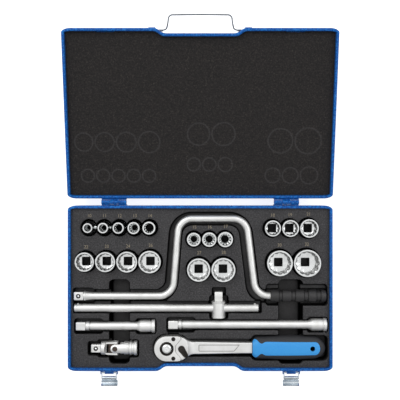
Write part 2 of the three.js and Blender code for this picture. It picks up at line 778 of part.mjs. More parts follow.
// Universal joint, drawn about its pivot. The drive yoke points along -X and turns on the cross's Y pin.
function jointDriveYoke() {
  const root = -jointThroat - jointDriveRoot;
  const barrel = turnedX([
    [0, root - 1], [braceCollar, root - 1], [jointRadius, root + 3], [jointRadius, jointEar], [0, jointEar],
  ], 16);
  const ears = outline([
    [-jointThroat, -jointRadius], [-3, -jointEar], [jointEar * 0.6, -jointEar], [jointEar, -jointEar * 0.6],
    [jointEar, jointEar * 0.6], [jointEar * 0.6, jointEar], [-3, jointEar], [-jointThroat, jointRadius],
    [root - cutExtra, jointRadius + 1], [root - cutExtra, -jointRadius - 1],
  ]);
  const earBlank = solid(extrusion(ears, -jointRadius - 1, jointRadius + 1).rotateX(Math.PI / 2));
  const throat = box(-jointThroat, jointEar + 1, -jointGap, jointGap, -jointRadius - 1, jointRadius + 1);
  const bore = turnedY(rodProfile(jointPin + seatGap, -jointRadius - 1, jointRadius + 1), 12);
  const square = squareDrive(driveLength - driveEdge).translate([root, 0, 0]);
  const yoke = joined(cut(barrel.intersect(earBlank), throat, bore), square);
  return cut(yoke, ballBore().translate([root - driveLength / 2, 0, 0]));
}

function jointSocketYoke() {
  const end = jointThroat + jointSocketLength;
  const groove = jointRadius - 1;
  const barrel = turnedX([
    [0, -jointEar], [jointRadius, -jointEar], [jointRadius, end - 8], [groove, end - 7], [groove, end - 5],
    [jointRadius, end - 4], [jointRadius, end - 1], [jointRadius - 1, end], [0, end],
  ], 16);
  const half = jointEar + 0.4;
  const ears = outline([
    [-jointEar, -half * 0.5], [-jointEar * 0.5, -half], [4, -half], [jointThroat, -jointRadius - 1],
    [end + 1, -jointRadius - 1], [end + 1, jointRadius + 1], [jointThroat, jointRadius + 1],
    [4, half], [-jointEar * 0.5, half], [-jointEar, half * 0.5],
  ]);
  const earBlank = prism(ears, -jointRadius - 1, jointRadius + 1);
  const throat = box(-jointEar - 1, jointThroat, -jointRadius - 1, jointRadius + 1, -jointGap, jointGap);
  const bore = turnedZ(rodProfile(jointPin + seatGap, -jointRadius - 1, jointRadius + 1), 12);
  const hole = prismAlongX(squareOutline(drive + driveGap, driveRelief), end - driveDepth, end + cutExtra);
  return cut(barrel.intersect(earBlank), throat, bore, hole);
}

// The cube between the yokes with its two pins.
function jointCross() {
  const cube = box(-jointCube, jointCube, -jointCube, jointCube, -jointCube, jointCube);
  const reach = jointRadius - 0.6;
  const lying = turnedY(rodProfile(jointPin, -reach, reach), 12);
  const standing = turnedZ(rodProfile(jointPin, -reach, reach), 12);
  return joined(cube, lying, standing);
}

// The ratchet's plan: a round head that runs into the shank, as half outlines mirrored about X.
function ratchetHeadPlan(inset) {
  const radius = ratchetHead - inset;
  const upper = [];
  const steps = 9;
  for (let i = 0; i <= steps; i += 1) {
    const angle = Math.PI - (i / steps) * 115 * degrees;
    upper.push([radius * Math.cos(angle), radius * Math.sin(angle)]);
  }
  upper.push([ratchetNeck - 8 - inset, ratchetShank / 2 + 3 - inset]);
  upper.push([ratchetNeck - inset, ratchetShank / 2 - inset]);
  const lower = upper.slice(1).reverse().map(([x, y]) => [x, -y]);
  return outline([...upper, ...lower].reverse());
}

function ratchetBody() {
  const headBottom = ratchetTop - ratchetCover - seatGap - ratchetThickness;
  const headTop = ratchetTop - ratchetCover - seatGap;
  const head = prism(ratchetHeadPlan(0), headBottom, headTop);
  const shankZ = ratchetShankThickness / 2;
  const from = ratchetNeck - 6;
  const to = gripStart - ratchetX - seatGap;
  const ring = (x, width, height) => {
    const points = [];
    for (let i = 0; i < 12; i += 1) {
      const angle = (i + 0.5) * 30 * degrees;
      const y = Math.sign(Math.cos(angle)) * Math.abs(Math.cos(angle)) ** 0.6;
      const z = Math.sign(Math.sin(angle)) * Math.abs(Math.sin(angle)) ** 0.6;
      points.push(new THREE.Vector3(x, (width / 2) * y, toolAxis + height * z));
    }
    return points;
  };
  const shank = lofted([
    ring(from, ratchetShank, shankZ), ring(from + 14, ratchetShank, shankZ),
    ring(to, ratchetShankEnd, shankZ),
  ]);
  const tang = turnedX(rodProfile(ratchetTang, to - 1, to + ratchetTangLength), 12);
  const bore = turnedZ(rodProfile(ratchetWheel + seatGap, headBottom - 1, headTop + 1), 24);
  const panel = prism(roundOutline(from + 20, to - 20, -6, 6, 5.9), toolAxis + shankZ - 0.6, ratchetTop);
  const screws = [-1, 1].map((side) => turnedZ(rodProfile(ratchetScrew - 0.8, headTop - 6, headTop + 1), 8)
    .translate([ratchetScrewX, side * ratchetScrewY, 0]));
  const lever = turnedZ(rodProfile(2.2, headTop - 6, headTop + 1), 10).translate([ratchetLeverX, 0, 0]);
  return cut(joined(head, shank, tang.translate([0, 0, toolAxis])), bore, panel, lever, ...screws);
}

function ratchetCoverPlate() {
  const bottom = ratchetTop - ratchetCover;
  const plate = prism(ratchetHeadPlan(1.2), bottom, ratchetTop);
  const keep = turnedZ(rodProfile(ratchetHead - 0.6, bottom - 1, ratchetTop + 1), 24);
  const nose = outline([[0, -17], [ratchetLeverX - 4, -3], [ratchetLeverX - 4, 3], [0, 17]]);
  const shaped = plate.intersect(joined(keep, prism(nose, bottom - 1, ratchetTop + 1)));
  const bore = turnedZ(rodProfile(ratchetWheel + seatGap, bottom - 1, ratchetTop + 1), 24);
  const screws = [-1, 1].map((side) => turnedZ([
    [0, bottom - 1], [ratchetScrew + seatGap, bottom - 1], [ratchetScrew + seatGap, ratchetTop + 1],
    [0, ratchetTop + 1],
  ], 10).translate([ratchetScrewX, side * ratchetScrewY, 0]));
  return cut(shaped, bore, ...screws);
}

function ratchetScrewPiece() {
  const bottom = ratchetTop - ratchetCover;
  const shank = ratchetScrew - 0.8 - seatGap;
  return turnedZ([
    [0, bottom - 5], [shank, bottom - 5], [shank, bottom], [ratchetScrew, bottom],
    [ratchetScrew, ratchetTop - 0.3], [0, ratchetTop - 0.3],
  ], 10);
}

// The wheel with its square, hollowed on top for the release button.
function ratchetDrive() {
  const bottom = ratchetTop - ratchetCover - seatGap - ratchetThickness - 1;
  const wheel = turnedZ([
    [0, bottom], [ratchetWheel - 1, bottom], [ratchetWheel, bottom + 1], [ratchetWheel, ratchetTop],
    [0, ratchetTop],
  ], 24);
  const square = squareDrive(driveLength).rotate([0, -90, 0]).translate([0, 0, bottom]);
  const well = turnedZ(rodProfile(ratchetButton + seatGap, ratchetTop - buttonHeight, ratchetTop + 1), 16);
  return cut(joined(wheel, square), well);
}

function ratchetButtonPiece() {
  const bottom = ratchetTop - ratchetButtonSeat;
  const top = ratchetTop + ratchetButtonRise;
  return turnedZ([
    [0, bottom], [ratchetButton, bottom], [ratchetButton, top - 1], [ratchetButton - 1.5, top],
    [0, top],
  ], 16);
}

// The selector lever lies on the head and swings about its pin.
function ratchetLever() {
  const bottom = ratchetTop - ratchetCover;
  const top = bottom + ratchetLeverHeight;
  const arm = prism(roundOutline(-3.6, ratchetLeverLength - 3.6, -3, 3, 2.9), bottom, top);
  const rib = prism(roundOutline(2, ratchetLeverLength - 4.4, -1.2, 1.2, 1.1), top - 0.5, top + 1);
  const pin = turnedZ(rodProfile(2.2 - seatGap, bottom - 5, bottom + 1), 10);
  return joined(arm, rib, pin);
}

// Grip sections: superellipses whose half width and half height swell and taper along the handle.
function gripRing(t) {
  const guard = Math.exp(-((t / 0.06) ** 2));
  const tail = Math.sqrt(Math.max(0.0001, 1 - Math.max(0, (t - 0.9) / 0.115) ** 2));
  const swell = 0.88 + 0.1 * Math.sin(Math.PI * Math.min(1, t * 1.05)) ** 2;
  const wide = gripHalfWidth * tail * Math.min(1, swell + 0.12 * guard);
  const high = gripHalfHeight * (0.55 + 0.45 * tail) * Math.min(1, swell + 0.1 * guard);
  const points = [];
  for (let i = 0; i < gripSides; i += 1) {
    const angle = (i / gripSides) * 2 * Math.PI;
    const y = Math.sign(Math.cos(angle)) * Math.abs(Math.cos(angle)) ** 0.75;
    const z = Math.sign(Math.sin(angle)) * Math.abs(Math.sin(angle)) ** 0.75;
    points.push(new THREE.Vector3(gripStart + t * gripLength, wide * y, toolAxis + high * z));
  }
  return points;
}

function gripForm() {
  const rings = [0, 0.04, 0.1, 0.25, 0.5, 0.75, 0.9, 0.97, 1].map(gripRing);
  return lofted(rings);
}

function inlayPlan(grow) {
  const half = gripHalfWidth - inlayMargin + grow;
  const from = gripStart + 7 - grow;
  const to = gripStart + gripLength - 9 + grow;
  return roundOutline(from, to, -half, half, 12);
}

function gripHoleCut() {
  const x = gripStart + gripLength - gripHoleFromEnd;
  return turnedZ(rodProfile(gripHole, 0, socketTop), 12).translate([x, 0, 0]);
}

function ratchetGrip() {
  const bed = prism(inlayPlan(seatGap), toolAxis + gripHalfHeight - inlayDepth - seatGap, socketTop, 3);
  const tang = turnedX(rodProfile(ratchetTang + seatGap, gripStart - 1,
    gripStart + ratchetTangLength + seatGap), 12).translate([0, 0, toolAxis]);
  return cut(gripForm(), bed, tang, gripHoleCut());
}

function gripInlay() {
  const bed = prism(inlayPlan(0), toolAxis + gripHalfHeight - inlayDepth, socketTop, 3);
  return cut(gripForm().intersect(bed), gripHoleCut());
}

// Pockets of the tray. grow widens and deepens each one into the outside of its thin wall.
function well(x, y, radius, floor, grow) {
  return turnedZ(rodProfile(radius + grow, floor - grow, baseHeight), 12).translate([x, y, 0]);
}

function pocket(x0, x1, y0, y1, floor, grow, round = pocketRound) {
  const shape = roundOutline(x0 - grow, x1 + grow, y0 - grow, y1 + grow, round + grow);
  return prism(shape, floor - grow, baseHeight, 1);
}

function bracePocket(grow) {
  const half = braceRadius + looseGap + grow;
  const down = braceRadius + seatGap + grow;
  const up = toolAxis - baseHeight;
  const section = outline([[up, -half], [down, -half], [down, half], [up, half]]);
  return swept(braceStations(), section).translate([0, 0, toolAxis]);
}

// A pocket round a rod that lies along X.
function lyingPocket(x0, x1, line, radius, gap, grow) {
  const half = radius + gap;
  return pocket(x0 - gap, x1 + gap, line - half, line + half, toolAxis - radius - seatGap, grow, toolRound);
}

function sliderPockets(grow) {
  const floor = toolAxis - sliderRadius - seatGap;
  const half = sliderLength / 2;
  const middle = barLine - sliderOffset;
  const across = sliderRadius + looseGap;
  const barrel = pocket(sliderX - across, sliderX + across, middle - half - snugGap, middle + half + snugGap,
    floor, grow, toolRound);
  const aside = drive / 2 + looseGap;
  const square = pocket(sliderX - aside, sliderX + aside, barLine, middle + half + driveLength + looseGap,
    floor, grow, toolRound);
  return [barrel, square];
}

function extensionPockets(start, length, line, grow) {
  const head = start + length - extensionHeadLength - extensionTaper;
  return [
    lyingPocket(start, start + length, line, extensionRadius + extensionRoom, snugGap, grow),
    lyingPocket(head, start + length, line, extensionHead, snugGap, grow),
  ];
}

function pocketShapes(grow) {
  const shapes = sockets.map(({ x, y, widest, length }) => {
    return well(x, y, widest / 2 + wellGap, socketTop - length - seatGap, grow);
  });
  const braceRoot = braceStart + driveLength + braceTaper;
  const gripMiddle = braceLine + braceGripShift;
  const gripHalf = braceGripPocket / 2;
  const jointStart = jointX - jointThroat - jointDriveRoot - driveLength;
  const jointEnd = jointX + jointThroat + jointSocketLength;
  shapes.push(
    bracePocket(grow),
    lyingPocket(braceStart, braceRoot, braceLine, braceCollar, looseGap / 2, grow),
    pocket(braceEnd - braceGripLength - looseGap * 2, braceEnd + snugGap, gripMiddle - gripHalf,
      gripMiddle + gripHalf, toolAxis - braceGripRadius - seatGap, grow),
    lyingPocket(barStart, barStart + barLength, barLine, barRadius, snugGap, grow),
    ...sliderPockets(grow),
    ...extensionPockets(shortStart, shortLength, shortLine, grow),
    ...extensionPockets(longStart, longLength, longLine, grow),
    lyingPocket(jointStart, jointEnd, jointLine, jointRadius, jointRoom, grow),
    ...ratchetPockets(grow),
    ...fingerPockets(grow),
  );
  return joined(...shapes);
}

function ratchetPockets(grow) {
  const headFloor = ratchetTop - ratchetCover - ratchetThickness - 2 * seatGap - 1;
  const driveFloor = headFloor - driveLength - driveEdge;
  const head = prism(ratchetHeadPlan(-snugGap - grow), headFloor - seatGap - grow, baseHeight)
    .translate([ratchetX, ratchetLine, 0]);
  const square = well(ratchetX, ratchetLine, drive * 0.75 + snugGap, driveFloor - seatGap, grow);
  const shank = pocket(ratchetX, gripStart, ratchetLine - ratchetShank / 2 - looseGap,
    ratchetLine + ratchetShank / 2 + looseGap, headFloor - seatGap, grow);
  const grip = pocket(gripStart - snugGap, gripStart + gripLength + snugGap,
    ratchetLine - gripHalfWidth - snugGap, ratchetLine + gripHalfWidth + snugGap,
    toolAxis - gripHalfHeight - seatGap, grow);
  return [head, square, shank, grip];
}

// Two deep channels across the lying tools let fingers lift them out.
function fingerPockets(grow) {
  return fingerChannels.map(({ side, margin, width }) => {
    const middle = side * (caseWidth / 2 - margin - width / 2);
    return pocket(middle - width / 2, middle + width / 2, frontFace + fingerFront, braceLine + fingerBeyond,
      fingerFloor, grow);
  });
}

// The formed tray: a sheet with thin-walled pockets and a skirt that stands on the floor.
function toolTray() {
  const edge = sheet + seatGap;
  const top = prism(casePlan(edge), trayTop - trayWall, trayTop);
  const skirtOutside = prism(casePlan(edge), edge, trayTop - trayWall / 2);
  const skirtInside = prism(casePlan(edge + trayWall), edge - cutExtra, trayTop + cutExtra);
  const headroom = box(-caseWidth, caseWidth, -caseDepth, caseDepth, trayTop, trayTop + baseHeight);
  const cups = cut(pocketShapes(trayWall), headroom);
  return cut(joined(top, cut(skirtOutside, skirtInside), cups), pocketShapes(0));
}

const set = new THREE.Group();

// Base
addPart(set, 'case_base', caseShell(baseHeight, trayDrop - seatGap), paint);
addPart(set, 'tool_tray', toolTray(), trayPlastic);
for (const [side, label] of [[-1, 'left'], [1, 'right']]) {
  addLatch(set, side, label);
}

// The lid is drawn shut and swung open about the hinge axis.
const lidSwing = addFrame(set, 0, hingeY, hingeZ, -openAngle * degrees);
const lid = addFrame(lidSwing, 0, -hingeY, -hingeZ);
addPart(lid, 'case_lid', caseLid(), paint);
addPart(lid, 'lid_foam', lidFoam(), foamBlack);
for (const [side, label] of [[-1, 'left'], [1, 'right']]) {
  addHinge(set, lid, side, label);
}
const handle = addFrame(lid, 0, handlePivotY, handlePivotZ);
addPart(handle, 'carry_handle', carryHandle(), zinc);

// Sockets
for (const socket of sockets) {
  const stand = addFrame(set, socket.x, socket.y, socketTop - socket.length);
  addPart(stand, `socket_${socket.size}`, socketBody(socket), chrome);
}

// Speed brace
const brace = addFrame(set, 0, 0, toolAxis);
addPart(brace, 'brace_crank', braceCrank(), satin);
const braceBall = detentBall().translate([braceStart + driveLength / 2, braceLine, 0]);
addPart(brace, 'brace_ball', braceBall, satin);
addPart(addFrame(brace, 0, braceLine, 0), 'brace_grip', braceGrip(), blackRubber);

// T-handle
const tHandle = addFrame(set, 0, barLine, toolAxis);
addPart(tHandle, 't_bar', tBar(), satin);
addPart(addFrame(tHandle, sliderX, 0, 0), 't_slider', tSlider(), satin);

// Extensions
addPart(addFrame(set, shortStart, shortLine, toolAxis), 'extension_short', extensionBar(shortLength), satin);
addPart(addFrame(set, longStart, longLine, toolAxis), 'extension_long', extensionBar(longLength), satin);

// Universal joint
const joint = addFrame(set, jointX, jointLine, toolAxis);
addPart(joint, 'joint_socket_yoke', jointSocketYoke(), satin);
addPart(joint, 'joint_cross', jointCross(), satin);
addPart(joint, 'joint_drive_yoke', jointDriveYoke(), satin);
const jointBallX = -jointThroat - jointDriveRoot - driveLength / 2;
addPart(joint, 'joint_ball', detentBall().translate([jointBallX, 0, 0]), satin);

// Ratchet
const ratchet = addFrame(set, ratchetX, ratchetLine, 0);
addPart(ratchet, 'ratchet_body', ratchetBody(), satin);
addPart(ratchet, 'ratchet_cover', ratchetCoverPlate(), satin);
for (const [side, label] of [[-1, 'front'], [1, 'rear']]) {
  const screw = ratchetScrewPiece().translate([ratchetScrewX, side * ratchetScrewY, 0]);
  addPart(ratchet, `ratchet_screw_${label}`, screw, blackSteel);
}
addPart(ratchet, 'ratchet_drive', ratchetDrive(), satin);
addPart(ratchet, 'ratchet_button', ratchetButtonPiece(), chrome);
const selector = addFrame(ratchet, ratchetLeverX, 0, 0);
selector.rotation.z = ratchetLeverAngle * degrees;
addPart(selector, 'ratchet_lever', ratchetLever(), blackSteel);
const ratchetHandle = addFrame(set, 0, ratchetLine, 0);
addPart(ratchetHandle, 'ratchet_grip', ratchetGrip(), gripGrey);
addPart(ratchetHandle, 'ratchet_inlay', gripInlay(), gripBlue);

export default set;
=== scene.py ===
import math
import bmesh
import bpy
import numpy as np
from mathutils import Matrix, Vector


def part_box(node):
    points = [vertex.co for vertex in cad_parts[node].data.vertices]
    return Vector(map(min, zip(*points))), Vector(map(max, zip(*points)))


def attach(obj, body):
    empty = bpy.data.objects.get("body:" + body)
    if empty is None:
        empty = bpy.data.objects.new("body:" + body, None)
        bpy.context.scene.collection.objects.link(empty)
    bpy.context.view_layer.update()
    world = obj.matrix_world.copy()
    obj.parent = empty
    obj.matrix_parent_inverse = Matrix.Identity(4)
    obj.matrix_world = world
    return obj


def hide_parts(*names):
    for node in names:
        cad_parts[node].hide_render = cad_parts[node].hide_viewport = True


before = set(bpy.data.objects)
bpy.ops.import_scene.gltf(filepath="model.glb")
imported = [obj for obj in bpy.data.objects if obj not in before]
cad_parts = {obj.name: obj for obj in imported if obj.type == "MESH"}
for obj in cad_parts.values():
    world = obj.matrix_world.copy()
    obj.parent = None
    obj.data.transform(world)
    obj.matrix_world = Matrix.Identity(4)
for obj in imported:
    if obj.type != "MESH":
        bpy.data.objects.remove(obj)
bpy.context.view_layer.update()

# A socket wrench set in its open steel case. Shapes are worked out in millimetres and stored in metres.
metre = 0.001
turn = 2 * math.pi


def nodeBox(node):
    # the corners of a solid's box in millimetres
    low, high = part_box(node)
    return np.array(low) / metre, np.array(high) / metre


def middleOf(node):
    low, high = nodeBox(node)
    return (low + high) / 2


def say(stage):
    print("stage:", stage)


def roundLine(corners, reach, steps=5, closed=False):
    # each corner C becomes the circular arc from A to B, which lie a reach before and after it:
    # ((1-t)^2 A + 2t(1-t) w C + t^2 B) / ((1-t)^2 + 2t(1-t) w + t^2), w the sine of half the corner's angle
    corners = np.array(corners, float)
    reach = np.broadcast_to(np.array(reach, float), (len(corners),))
    before = np.roll(corners, 1, 0) - corners
    after = np.roll(corners, -1, 0) - corners
    spans = [np.linalg.norm(side, axis=1, keepdims=True) for side in (before, after)]
    away = [side / np.maximum(span, 1e-9) for side, span in zip((before, after), spans)]
    cut = np.minimum(reach[:, None], 0.495 * np.minimum(*spans))
    first, last = corners + away[0] * cut, corners + away[1] * cut
    w = np.sqrt(np.clip((1 - (away[0] * away[1]).sum(1)) / 2, 0, 1))[:, None, None]
    t = np.linspace(0, 1, steps)[None, :, None]
    a, c, b = (1 - t) ** 2, 2 * t * (1 - t) * w, t * t
    arcs = (a * first[:, None] + c * corners[:, None] + b * last[:, None]) / (a + b + c)
    pieces = [arc if size > 0 else corner[None] for arc, size, corner in zip(arcs, reach, corners)]
    if not closed:
        pieces[0], pieces[-1] = corners[:1], corners[-1:]
    return np.concatenate(pieces)


ringShapes = {"squarePower": 14, "starDepth": 0.15, "starCurve": 1.2}


def ringShape(kind, angle):
    # a unit outline's radius at each angle: a disc is 1, a soft-cornered square (|cos|^n + |sin|^n)^(-1/n),
    # a hexagon 1 / cos(angle from a flat's middle), and a twelve-point star 1 at its hollows and
    # 1 + depth * (1 - share of the way from point to hollow)^curve
    if kind == "square":
        n = ringShapes["squarePower"]
        return (np.abs(np.cos(angle)) ** n + np.abs(np.sin(angle)) ** n) ** (-1 / n)
    if kind == "star":
        apart = np.abs((angle + turn / 24) % (turn / 12) - turn / 24)
        return 1 + ringShapes["starDepth"] * (1 - apart / (turn / 24)) ** ringShapes["starCurve"]
    if kind == "hexagon":
        return 1 / np.cos((angle % (turn / 6)) - turn / 12)
    return np.ones_like(angle)


def kindsOf(profile):
    # a station without a kind is round
    return [station[2] if len(station) > 2 else "disc" for station in profile]


def turned(profile, centre=(0, 0, 0), axis="z", sides=96, wrapRows=False):
    # a ring for each station (t, r, kind): centre + t along the axis + r * shape(angle) * (cos, sin) across
    angle = np.arange(sides) / sides * turn
    height = np.array([station[0] for station in profile], float)[:, None]
    radius = np.array([station[1] for station in profile], float)[:, None]
    shapes = np.array([ringShape(kind, angle) for kind in kindsOf(profile)])
    first, second = radius * shapes * np.cos(angle), radius * shapes * np.sin(angle)
    height = np.broadcast_to(height, first.shape)
    order = {"z": (first, second, height), "x": (height, first, second), "y": (second, height, first)}[axis]
    return surface(np.stack(order, -1) + np.array(centre, float), wrapRows)


def rod(centre, radius, low, high, axis="z", sides=32):
    # a plain cylinder from low to high along its axis
    return turned([(low, 0), (low, radius), (high, radius), (high, 0)], centre, axis, sides)


def ring(centre, inner, outer, low, high, sides=64):
    # a flat washer: four corners turned about the upright axis and joined to each other
    corners = [(low, inner), (low, outer), (high, outer), (high, inner)]
    return turned(corners, centre, "z", sides, wrapRows=True)


def surface(grid, wrapRows=False):
    # quads between the neighbours of a grid of rings; open end rings are closed by a face each
    rows, columns = grid.shape[:2]
    index = np.arange(rows * columns).reshape(rows, columns)
    rings = np.vstack([index, index[:1]]) if wrapRows else index
    rings = np.hstack([rings, rings[:, :1]])
    quads = np.stack([rings[:-1, :-1], rings[:-1, 1:], rings[1:, 1:], rings[1:, :-1]], -1)
    faces = quads.reshape(-1, 4).tolist()
    for row in () if wrapRows else (0, rows - 1):
        if np.ptp(grid[row], axis=0).max() > 1e-4:
            faces.append(index[row].tolist())
    return grid.reshape(-1, 3), faces


def outward(line):
    # unit normals of a closed outline that runs anticlockwise: the tangent (dx, dy) turned to (dy, -dx)
    tangent = np.roll(line, -1, 0) - np.roll(line, 1, 0)
    normal = np.stack([tangent[:, 1], -tangent[:, 0]], 1)
    return normal / np.maximum(np.linalg.norm(normal, axis=1, keepdims=True), 1e-9)


def leftward(line):
    # unit normals of an open line: the tangent (dx, dy) turned to (-dy, dx)
    tangent = np.gradient(line, axis=0)
    normal = np.stack([-tangent[:, 1], tangent[:, 0]], 1)
    return normal / np.linalg.norm(normal, axis=1, keepdims=True)


def plate(line, low, high, axis="z", edge=0.3, steps=3):
    # a flat outline raised from low to high, its edges rounded: inset e(1 - sin a) at height e(1 - cos a)
    line = np.array(line, float)
    a = np.linspace(0, turn / 4, steps)
    inset = edge * (1 - np.sin(a))
    rise = edge * (1 - np.cos(a))
    insets = np.concatenate([inset, inset[::-1]])
    heights = np.concatenate([low + rise, high - rise[::-1]])
    flat = line[None] - insets[:, None, None] * outward(line)[None]
    tall = np.broadcast_to(heights[:, None], flat.shape[:2])
    first, second = flat[..., 0], flat[..., 1]
    order = {"z": (first, second, tall), "x": (tall, first, second), "y": (second, tall, first)}[axis]
    return surface(np.stack(order, -1))


def roundBox(x0, x1, y0, y1, radius, steps=5):
    # a rectangle with round corners
    return roundLine([(x0, y0), (x1, y0), (x1, y1), (x0, y1)], radius, steps, closed=True)


def cuboid(x0, x1, y0, y1, z0, z1):
    # a sharp box, used as a cutter
    return plate(np.array([(x0, y0), (x1, y0), (x1, y1), (x0, y1)], float), z0, z1, edge=0.0, steps=1)


def stroke(line, width):
    # a line thickened to both sides by half its width along its normals
    line = np.array(line, float)
    aside = leftward(line) * width / 2
    return np.concatenate([line - aside, (line + aside)[::-1]])


def along(path, radii, kinds, sides=48, level=0.0):
    # a ring at each point P of the path: P + r shape(a) (cos a * N + sin a * Z), N level and across the path
    path = np.array(path, float)
    angle = np.arange(sides) / sides * turn
    radius = np.array(radii, float)[:, None] * np.array([ringShape(kind, angle) for kind in kinds])
    flat = path[:, None] + radius[..., None] * np.cos(angle)[None, :, None] * leftward(path)[:, None]
    tall = level + radius * np.sin(angle)
    return surface(np.concatenate([flat, tall[..., None]], -1))


def shifted(part, offset):
    # moved by an offset
    return part[0] + np.array(offset, float), part[1]


def tilted(part, centre, degrees):
    # turned about the X axis through centre: y' = y cos - z sin, z' = y sin + z cos
    angle = math.radians(degrees)
    offset = part[0] - np.array(centre, float)
    y = offset[:, 1] * math.cos(angle) - offset[:, 2] * math.sin(angle)
    z = offset[:, 1] * math.sin(angle) + offset[:, 2] * math.cos(angle)
    return np.stack([offset[:, 0], y, z], 1) + np.array(centre, float), part[1]


def reworked(mesh, steps):
    # passes the mesh through bmesh; steps is what is done to it there
    shell = bmesh.new()
    shell.from_mesh(mesh)
    steps(shell)
    bmesh.ops.recalc_face_normals(shell, faces=shell.faces)
    shell.to_mesh(mesh)
    shell.free()


def makeObject(name, parts):
    # one mesh from (points, faces) parts: points in millimetres, those that coincide are merged
    mesh = bpy.data.meshes.new(name)
    start, points, faces = 0, [], []
    for spots, corners in parts:
        points.append(spots * metre)
        faces += [[start + corner for corner in face] for face in corners]
        start += len(spots)
    mesh.from_pydata(np.concatenate(points).tolist(), [], faces)
    reworked(mesh, lambda shell: bmesh.ops.remove_doubles(shell, verts=shell.verts, dist=2e-7))
    piece = bpy.data.objects.new(name, mesh)
    bpy.context.scene.collection.objects.link(piece)
    return piece


def cutBy(piece, cutters, operation="DIFFERENCE"):
    # each cutter works as a boolean, and the result becomes the piece's mesh
    tools = [makeObject("cutter", [cutter]) for cutter in cutters]
    for tool in tools:
        modifier = piece.modifiers.new("cut", "BOOLEAN")
        modifier.object = tool
        modifier.operation = operation
        modifier.solver = "EXACT"
    shaped = piece.evaluated_get(bpy.context.evaluated_depsgraph_get())
    mesh = bpy.data.meshes.new_from_object(shaped)
    piece.modifiers.clear()
    piece.data = mesh
    for tool in tools:
        bpy.data.objects.remove(tool)


def finishPiece(piece, finish, body, nodes=(), sharp=35):
    # its finish, smooth faces up to the sharp angle, the body that it rides on and the solids it replaces
    piece.data.materials.clear()
    piece.data.materials.append(finish)
    piece.data.shade_smooth()
    piece.data.set_sharp_from_angle(angle=math.radians(sharp))
    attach(piece, body)
    if nodes:
        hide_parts(*nodes)
    return piece


def addPiece(name, parts, finish, body, nodes=(), sharp=35):
    return finishPiece(makeObject(name, parts), finish, body, nodes, sharp)


def spotsOf(mesh):
    # a mesh's points in millimetres
    spots = np.empty(len(mesh.vertices) * 3)
    mesh.vertices.foreach_get("co", spots)
    return spots.reshape(-1, 3) / metre


def markPoints(piece, mark, values):
    # a value for each point that the finish reads by its name
    piece.data.attributes.new(mark, "FLOAT", "POINT").data.foreach_set("value", values)


def markRecess(piece, values):
    # how much painted shade each point gets, 0 to 1: the finishes go darker and duller there
    markPoints(piece, "recess", np.clip(values, 0, 1))


def colour(code):
    # sRGB hex to linear: c / 12.92 below 0.04045, else ((c + 0.055) / 1.055) ^ 2.4
    channels = np.array([int(code[i:i + 2], 16) / 255 for i in (1, 3, 5)])
    linear = np.where(channels <= 0.04045, channels / 12.92, ((channels + 0.055) / 1.055) ** 2.4)
    return (*linear.tolist(), 1.0)


def perMillimetre(size):
    # the scale that makes a pattern this many millimetres wide
    return 1 / (size * metre)


def feed(node, inputs):
    # an input takes a value, or a link from (node, output)
    for key, value in inputs.items():
        if isinstance(value, tuple) and isinstance(value[0], bpy.types.Node):
            node.id_data.links.new(value[0].outputs[value[1]], node.inputs[key])
        else:
            node.inputs[key].default_value = value


def addNode(tree, kind, settings=None, inputs=None, stops=()):
    # a node with its settings, its inputs and, where it is a ramp, its stops (place, colour or grey)
    node = tree.nodes.new(kind)
    for key, value in (settings or {}).items():
        setattr(node, key, value)
    feed(node, inputs or {})
    while stops and len(node.color_ramp.elements) < len(stops):
        node.color_ramp.elements.new(0.5)
    for index, (place, value) in enumerate(stops):
        stop = node.color_ramp.elements[index]
        stop.position = place
        stop.color = value if isinstance(value, tuple) else (value, value, value, 1)
    return node


def newFinish(name, **values):
    # a material with its shader, its output and the coordinates that its patterns lie in
    material = bpy.data.materials.new(name)
    material.use_nodes = True
    tree = material.node_tree
    tree.nodes.clear()
    inputs = {key.replace("_", " "): value for key, value in values.items()}
    shader = addNode(tree, "ShaderNodeBsdfPrincipled", None, inputs)
    addNode(tree, "ShaderNodeOutputMaterial", None, {"Surface": (shader, "BSDF")})
    coords = addNode(tree, "ShaderNodeTexCoord")
    return material, tree, shader, (coords, "Object")


def shadeRecess(tree, tone, dark):
    # painted shade: the tone goes over to the dark colour where the painted-shade mark says
    recess = addNode(tree, "ShaderNodeAttribute", {"attribute_name": "recess"})
    mixed = addNode(tree, "ShaderNodeMix", {"data_type": "RGBA"}, {
        0: (recess, "Fac"), 6: tone, 7: colour(dark)})
    return (recess, "Fac"), (mixed, 2)


# the hollow colour is painted shade, the crest colour painted light and the glint colour painted glints
enamel = {"dimple": 2.6, "glintSpeck": 1.1, "patch": 9, "hollow": "#00428f", "face": "#0059b0", "crest": "#1c7ace",
          "glint": "#7db2ec", "roughness": 0.4, "relief": 0.35}


